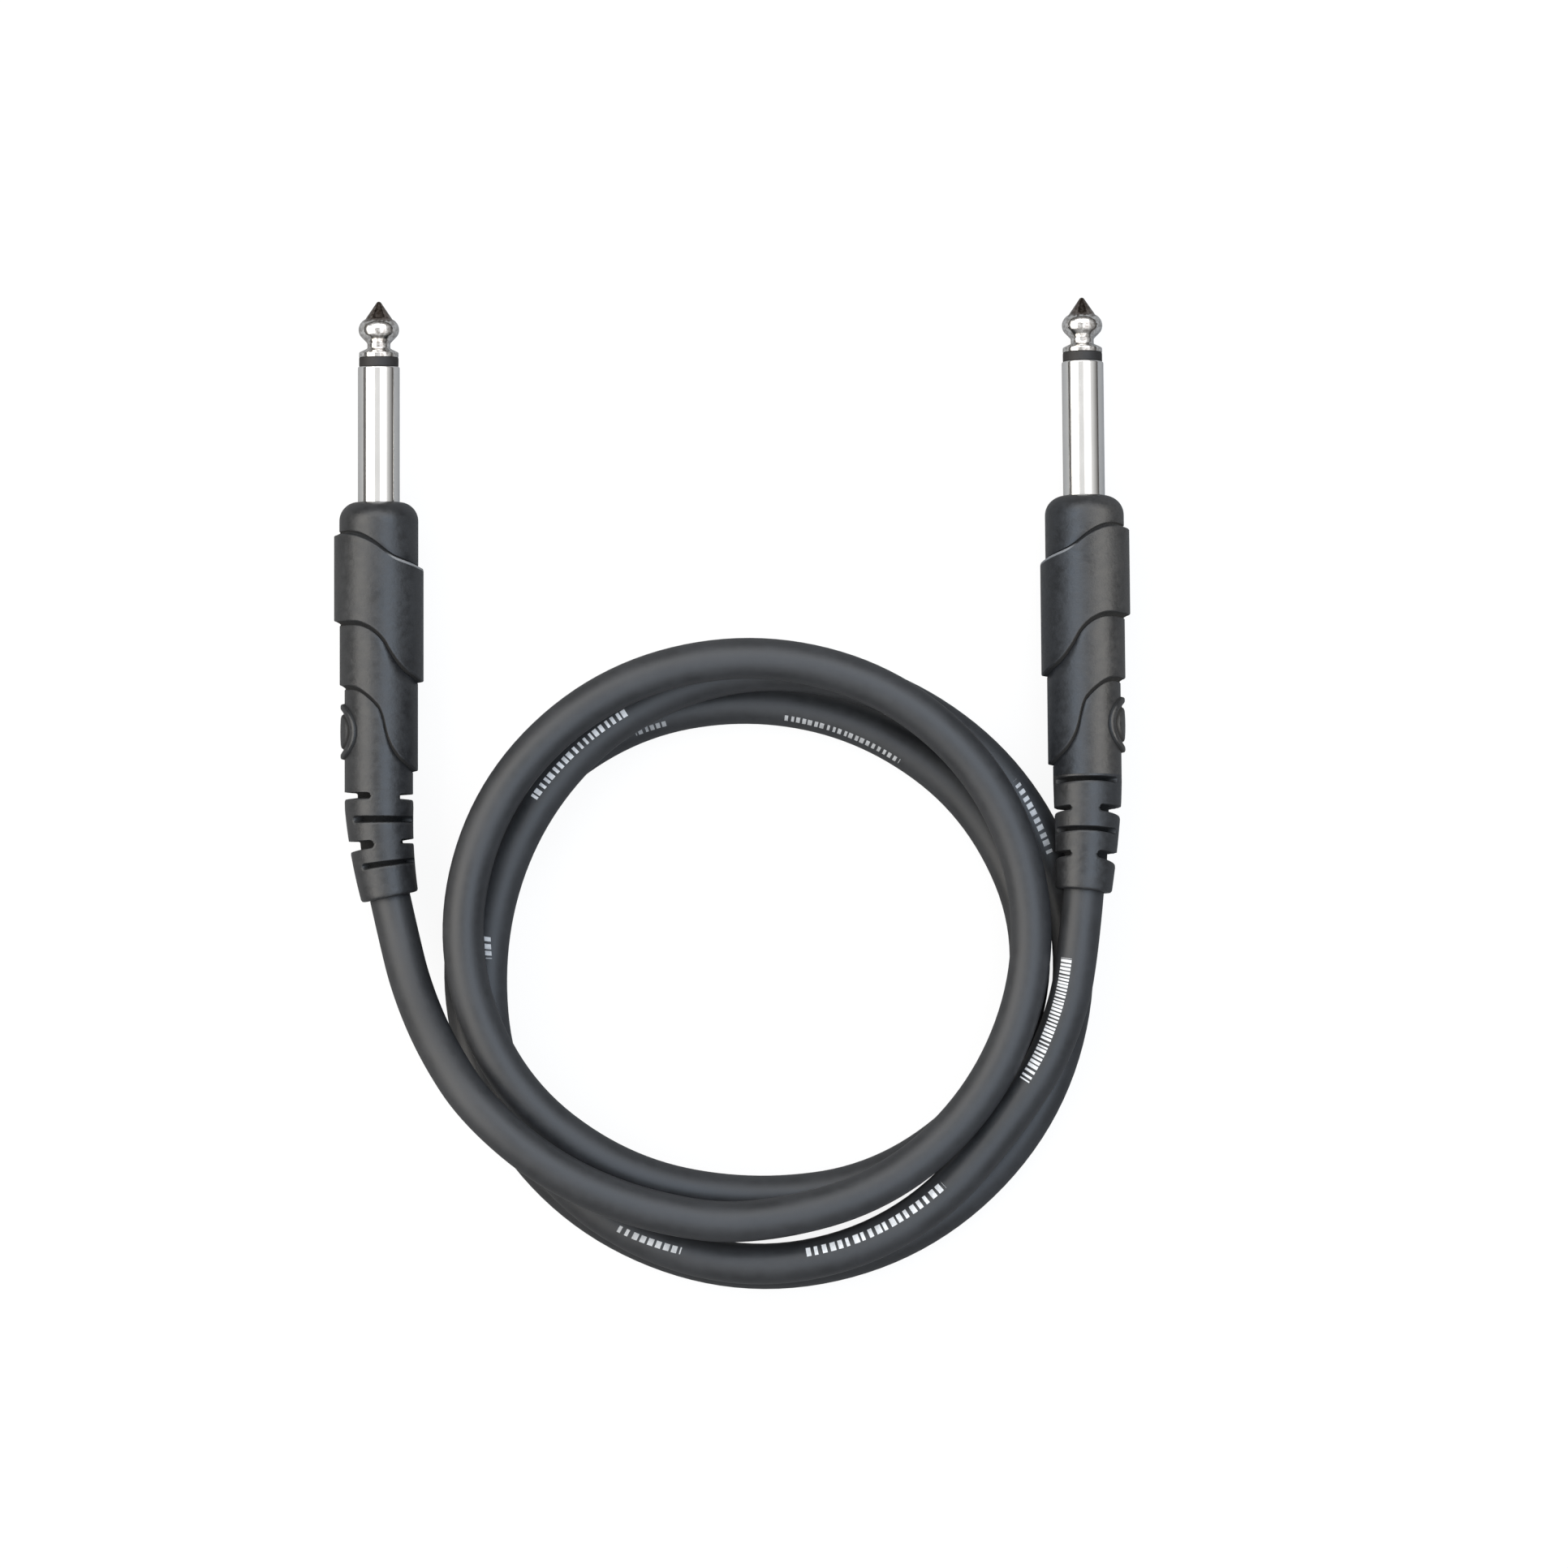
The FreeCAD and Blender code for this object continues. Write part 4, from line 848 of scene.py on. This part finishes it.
# %% Slots of each relief
# One row a slot: whether it opens at the sides or on top and below, its place along the relief, its
# width, how much narrower it is on the right than in the middle, how much narrower on top, its slant,
# how far it is rolled about the axis and how many degrees it reaches either way.
RELIEFS = {
    "left": dict(pull=0.2, grow=0.2, slots=[
        ("side", 1.1, 0.85, 0.07, 0.10, 0.03, 14.5, 63),
        ("top", 4.65, 0.95, 0.0, 0.10, 0.05, 18.0, 66),
        ("side", 8.33, 1.02, 0.44, 0.12, 0.005, 14.5, 63),
        ("top", 11.5, 0.78, 0.05, 0.10, 0.0, 22.0, 64)]),
    "right": dict(pull=0.45, grow=0.1, slots=[
        ("top", 0.1, 1.1, 0.0, 0.55, 0.0, 6.0, 63),
        ("side", 4.42, 1.2, 0.3, 0.50, 0.0, 6.0, 63),
        ("top", 7.65, 1.1, 0.0, 0.60, 0.0, 6.0, 68),
        ("side", 11.4, 1.5, 0.35, 0.75, 0.0, 6.0, 63)]),
}
FRONT_WALL, REAR_WALL, CHAMFER, CHAMFER_DEPTH = 0.14, 0.26, 0.4, 0.07


def slot_depth(side, travel, angle, outer):
    """
    How deep each grid point lies in a slot, from 0 to 1. With h the height round the relief, a slot's
    middle line is place + slant * x - pull * h, it is width - splay * cos(angle) - pinch * h wide, and
    its ends are half circles. The rear wall is softer than the front one and has a chamfer before it.
    """
    sizes, up = RELIEFS[side], PLUGS[side]["up"]
    height = np.sin(angle) * up
    depth = np.zeros((len(travel), len(angle)))
    for opens, place, width, splay, pinch, slant, roll, span in sizes["slots"]:
        middle = (math.pi / 2 if opens == "top" else 0.0) - math.radians(roll) * up
        off = (angle - middle + math.pi / 2) % math.pi - math.pi / 2
        width = width - splay * np.cos(angle) - pinch * height
        past = np.maximum((np.abs(off) - math.radians(span)) * outer[:, None] + width / 2, 0)
        behind = travel[:, None] - (place + slant * NECK_R * np.cos(angle) - sizes["pull"] * height)
        away = np.hypot(past, behind) - width / 2
        t = np.clip(0.5 - away / np.where(behind > 0, REAR_WALL, FRONT_WALL), 0, 1)
        chamfer = np.where(behind > 0, np.clip(1 - away / CHAMFER, 0, 1) * CHAMFER_DEPTH, 0)
        depth = np.maximum(depth, np.maximum(t * t * (3 - 2 * t), chamfer))
    return depth


# %% Relief grid
RELIEF_END_R, FLOOR_R, GROWTH_RUN = 4.2, CORD_R + 0.12, 3
ROW_STEP, SLOTTED, LIP_START = 0.06, 12.9, 16.1


def relief_grid(side, columns=300):
    """
    Points and slot depth. The axis is an arc, each row lies at one travel along it, and the radius is
    outer - (outer - floor) * depth.
    """
    turn = math.radians(PLUGS[side]["bend"])
    bend = RELIEF_LENGTH / turn
    start = RELIEF_START[side]
    travel = np.concatenate([[start, start + 0.02], np.arange(start + ROW_STEP, SLOTTED, ROW_STEP),
                             np.linspace(SLOTTED, LIP_START, 10)])
    taper = (NECK_R - RELIEF_END_R) * np.maximum(travel, 0) / LIP_START
    outer = NECK_R - taper + RELIEFS[side]["grow"] * np.clip(travel / GROWTH_RUN, 0, 1)
    rim = outer[-1]
    lip = eased([(LIP_START, rim), (16.4, rim - 0.16), (RELIEF_LENGTH, rim - 0.6),
                 (RELIEF_LENGTH, CORD_R + 0.04), (16.0, CORD_R + 0.02)], 0.3)
    travel, outer = np.append(travel, lip[1:, 0]), np.append(outer, lip[1:, 1])
    angle = np.linspace(0, 2 * math.pi, columns, endpoint=False)
    depth = slot_depth(side, travel, angle, outer)
    radius = outer[:, None] - np.maximum(outer[:, None] - FLOOR_R, 0) * depth
    phi = (travel / bend)[:, None]
    x = bend * (1 - np.cos(phi)) + radius * np.cos(angle) * np.cos(phi)
    y = -HOUSING_END - bend * np.sin(phi) + radius * np.cos(angle) * np.sin(phi)
    return np.stack([x, y, radius * np.sin(angle)], axis=-1), depth


for side in PLUGS:
    points, depth = relief_grid(side)
    relief = grid_piece(side + "_relief", on_table(side, points), moulding_finish,
                        close_ends=(True, False))
    # The slot depth is also painted shade: the slots are darkened where they are deep.
    mark_painted_shading(relief, depth)
    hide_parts(side + "_strain_relief")

# %% [markdown]
# ## The oval boss
# The rear of each housing carries a plain oval boss on one side. A flat disc would stand off the
# round neck, so the boss is wrapped round it: a rounded rim, a sunk field and a low dome. Each row
# is an oval of one share of the full size, and its height over the neck depends on that share alone.

# %% Boss grid
BOSS_BACK, BOSS_ALONG, BOSS_ROUND = 34.95, 4.2, 4.8
# Rows of (share of the oval, height over the neck), from the foot to the middle.
BOSS_ROWS = [(1.06, -0.3), (1.02, 0.0), (0.99, 0.5), (0.94, 0.62), (0.84, 0.62), (0.79, 0.5), (0.75, 0.15),
             (0.64, 0.15), (0.59, 0.45), (0.50, 0.58), (0.25, 0.64), (0.02, 0.66)]


def boss_grid(columns=120):
    """
    Points (-reach * cos r, place, reach * sin r) and their painted shade, strongest at the foot and in
    the sunk field. The place along the plug is -BOSS_BACK + share * BOSS_ALONG * cos a, and r turns
    share * BOSS_ROUND * sin a round the neck.
    """
    shape = eased(BOSS_ROWS, 0.05, 5)
    angle = np.linspace(0, 2 * math.pi, columns, endpoint=False)
    share, height = shape[:, :1], shape[:, 1:]
    reach, round_neck = NECK_R + height, BOSS_ROUND * share * np.sin(angle) / NECK_R
    points = np.stack([-reach * np.cos(round_neck), -BOSS_BACK + BOSS_ALONG * share * np.cos(angle),
                       reach * np.sin(round_neck)], axis=-1)
    # Painted shade: 1 at the foot, about 0.8 in the sunk field, none on the rim, and almost none on the
    # dome.
    return points, np.clip(1.2 - height / 0.4, 0, 1) * np.ones(columns)


for side in PLUGS:
    points, recess = boss_grid()
    boss = grid_piece(side + "_boss", on_table(side, points), moulding_finish)
    mark_painted_shading(boss, recess)

# %% [markdown]
# ## Pieces inside the plugs
# The terminals, insulators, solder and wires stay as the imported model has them, and only get finishes
# of their own, so that they look right if a plug is opened or cut.

# %% Finishes of the inner pieces


def plain_finish(name, dark, light, scale, roughness, metallic=0.0):
    """A simple finish: two shades mixed by noise, and roughness that varies with it."""
    made = Finish(name)
    spots = made.noise(scale)
    return made.shade(Base_Color=made.blend(spots, grey(*dark), grey(*light)), Metallic=metallic,
                      Roughness=spots * 0.15 + roughness)


nylon = plain_finish("natural_nylon", (0.62, (1, 0.97, 0.88)), (0.72, (1, 0.97, 0.9)), 700.0, 0.4)
brass = plain_finish("tinned_brass", (0.6, (1, 0.9, 0.62)), (0.7, (1, 0.94, 0.75)), 900.0, 0.25, 1.0)
copper = plain_finish("copper_strands", (0.7, (1, 0.5, 0.34)), (0.82, (1, 0.58, 0.42)), 2500.0, 0.3, 1.0)
solder = plain_finish("solder_grey", (0.55,), (0.68,), 1500.0, 0.22, 1.0)
core = plain_finish("white_core", (0.72,), (0.8,), 900.0, 0.45)
block = plain_finish("inner_block", (0.4, (1, 1, 0.93)), (0.48, (1, 1, 0.95)), 600.0, 0.5)
INNER = {
    "insulating_tube": nylon, "rear_washer": nylon, "tip_terminal": brass, "ground_terminal": brass,
    "core_insulation": core, "conductor": copper, "screen_pigtail": copper, "tip_solder": solder,
    "ground_solder": solder, "inner_mould": block, "jacket_end": jacket_finish,
}
for side in PLUGS:
    for node, finish in INNER.items():
        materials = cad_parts[side + "_" + node].data.materials
        materials.clear()
        materials.append(finish)
print("inner pieces dressed:", 2 * len(INNER))

# %% [markdown]
# ## Which lamps light what
# The mirrored pair lights only the body of the right plug. The cool lamp of the other pair would burn
# the bright metal out, so the fingers get a dimmer one of the same size instead.

# %% Light linking
BODY = ["right_shell", "right_boss"]
METAL = [side + part for side in PLUGS for part in ("_tip", "_sleeve")]


def link_lamp(lamp, names, state):
    """Let a lamp light only the named pieces, with INCLUDE, or all but them, with EXCLUDE."""
    pieces = bpy.data.collections.new(lamp.name + "_" + state.lower())
    for name in names:
        pieces.objects.link(bpy.data.objects[name])
    for item in pieces.collection_objects:
        item.light_linking.link_state = state
    lamp.light_linking.receiver_collection = pieces
    print("%-14s %s %s" % (lamp.name, state, ", ".join(names)))


link_lamp(lamps["warm_left"], BODY, "EXCLUDE")
link_lamp(lamps["cool_left"], BODY + METAL, "EXCLUDE")
link_lamp(lamps["warm_right"], BODY, "INCLUDE")
link_lamp(lamps["cool_right"], BODY, "INCLUDE")
link_lamp(lamps["metal"], METAL, "INCLUDE")

# %% [markdown]
# ## Closing
# The picture uses plain Standard colour. The last line prints how far the low and high corners of the
# dressed box lie from those of the imported one, in millimetres.

# %% Colour and sizes
bpy.context.scene.view_settings.view_transform = "Standard"
dressed_box = [list(corner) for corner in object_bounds()]
grown = [[round((b - a) / MM, 2) for a, b in zip(*pair)] for pair in zip(cad_box, dressed_box)]
print("grown by, mm:", grown)
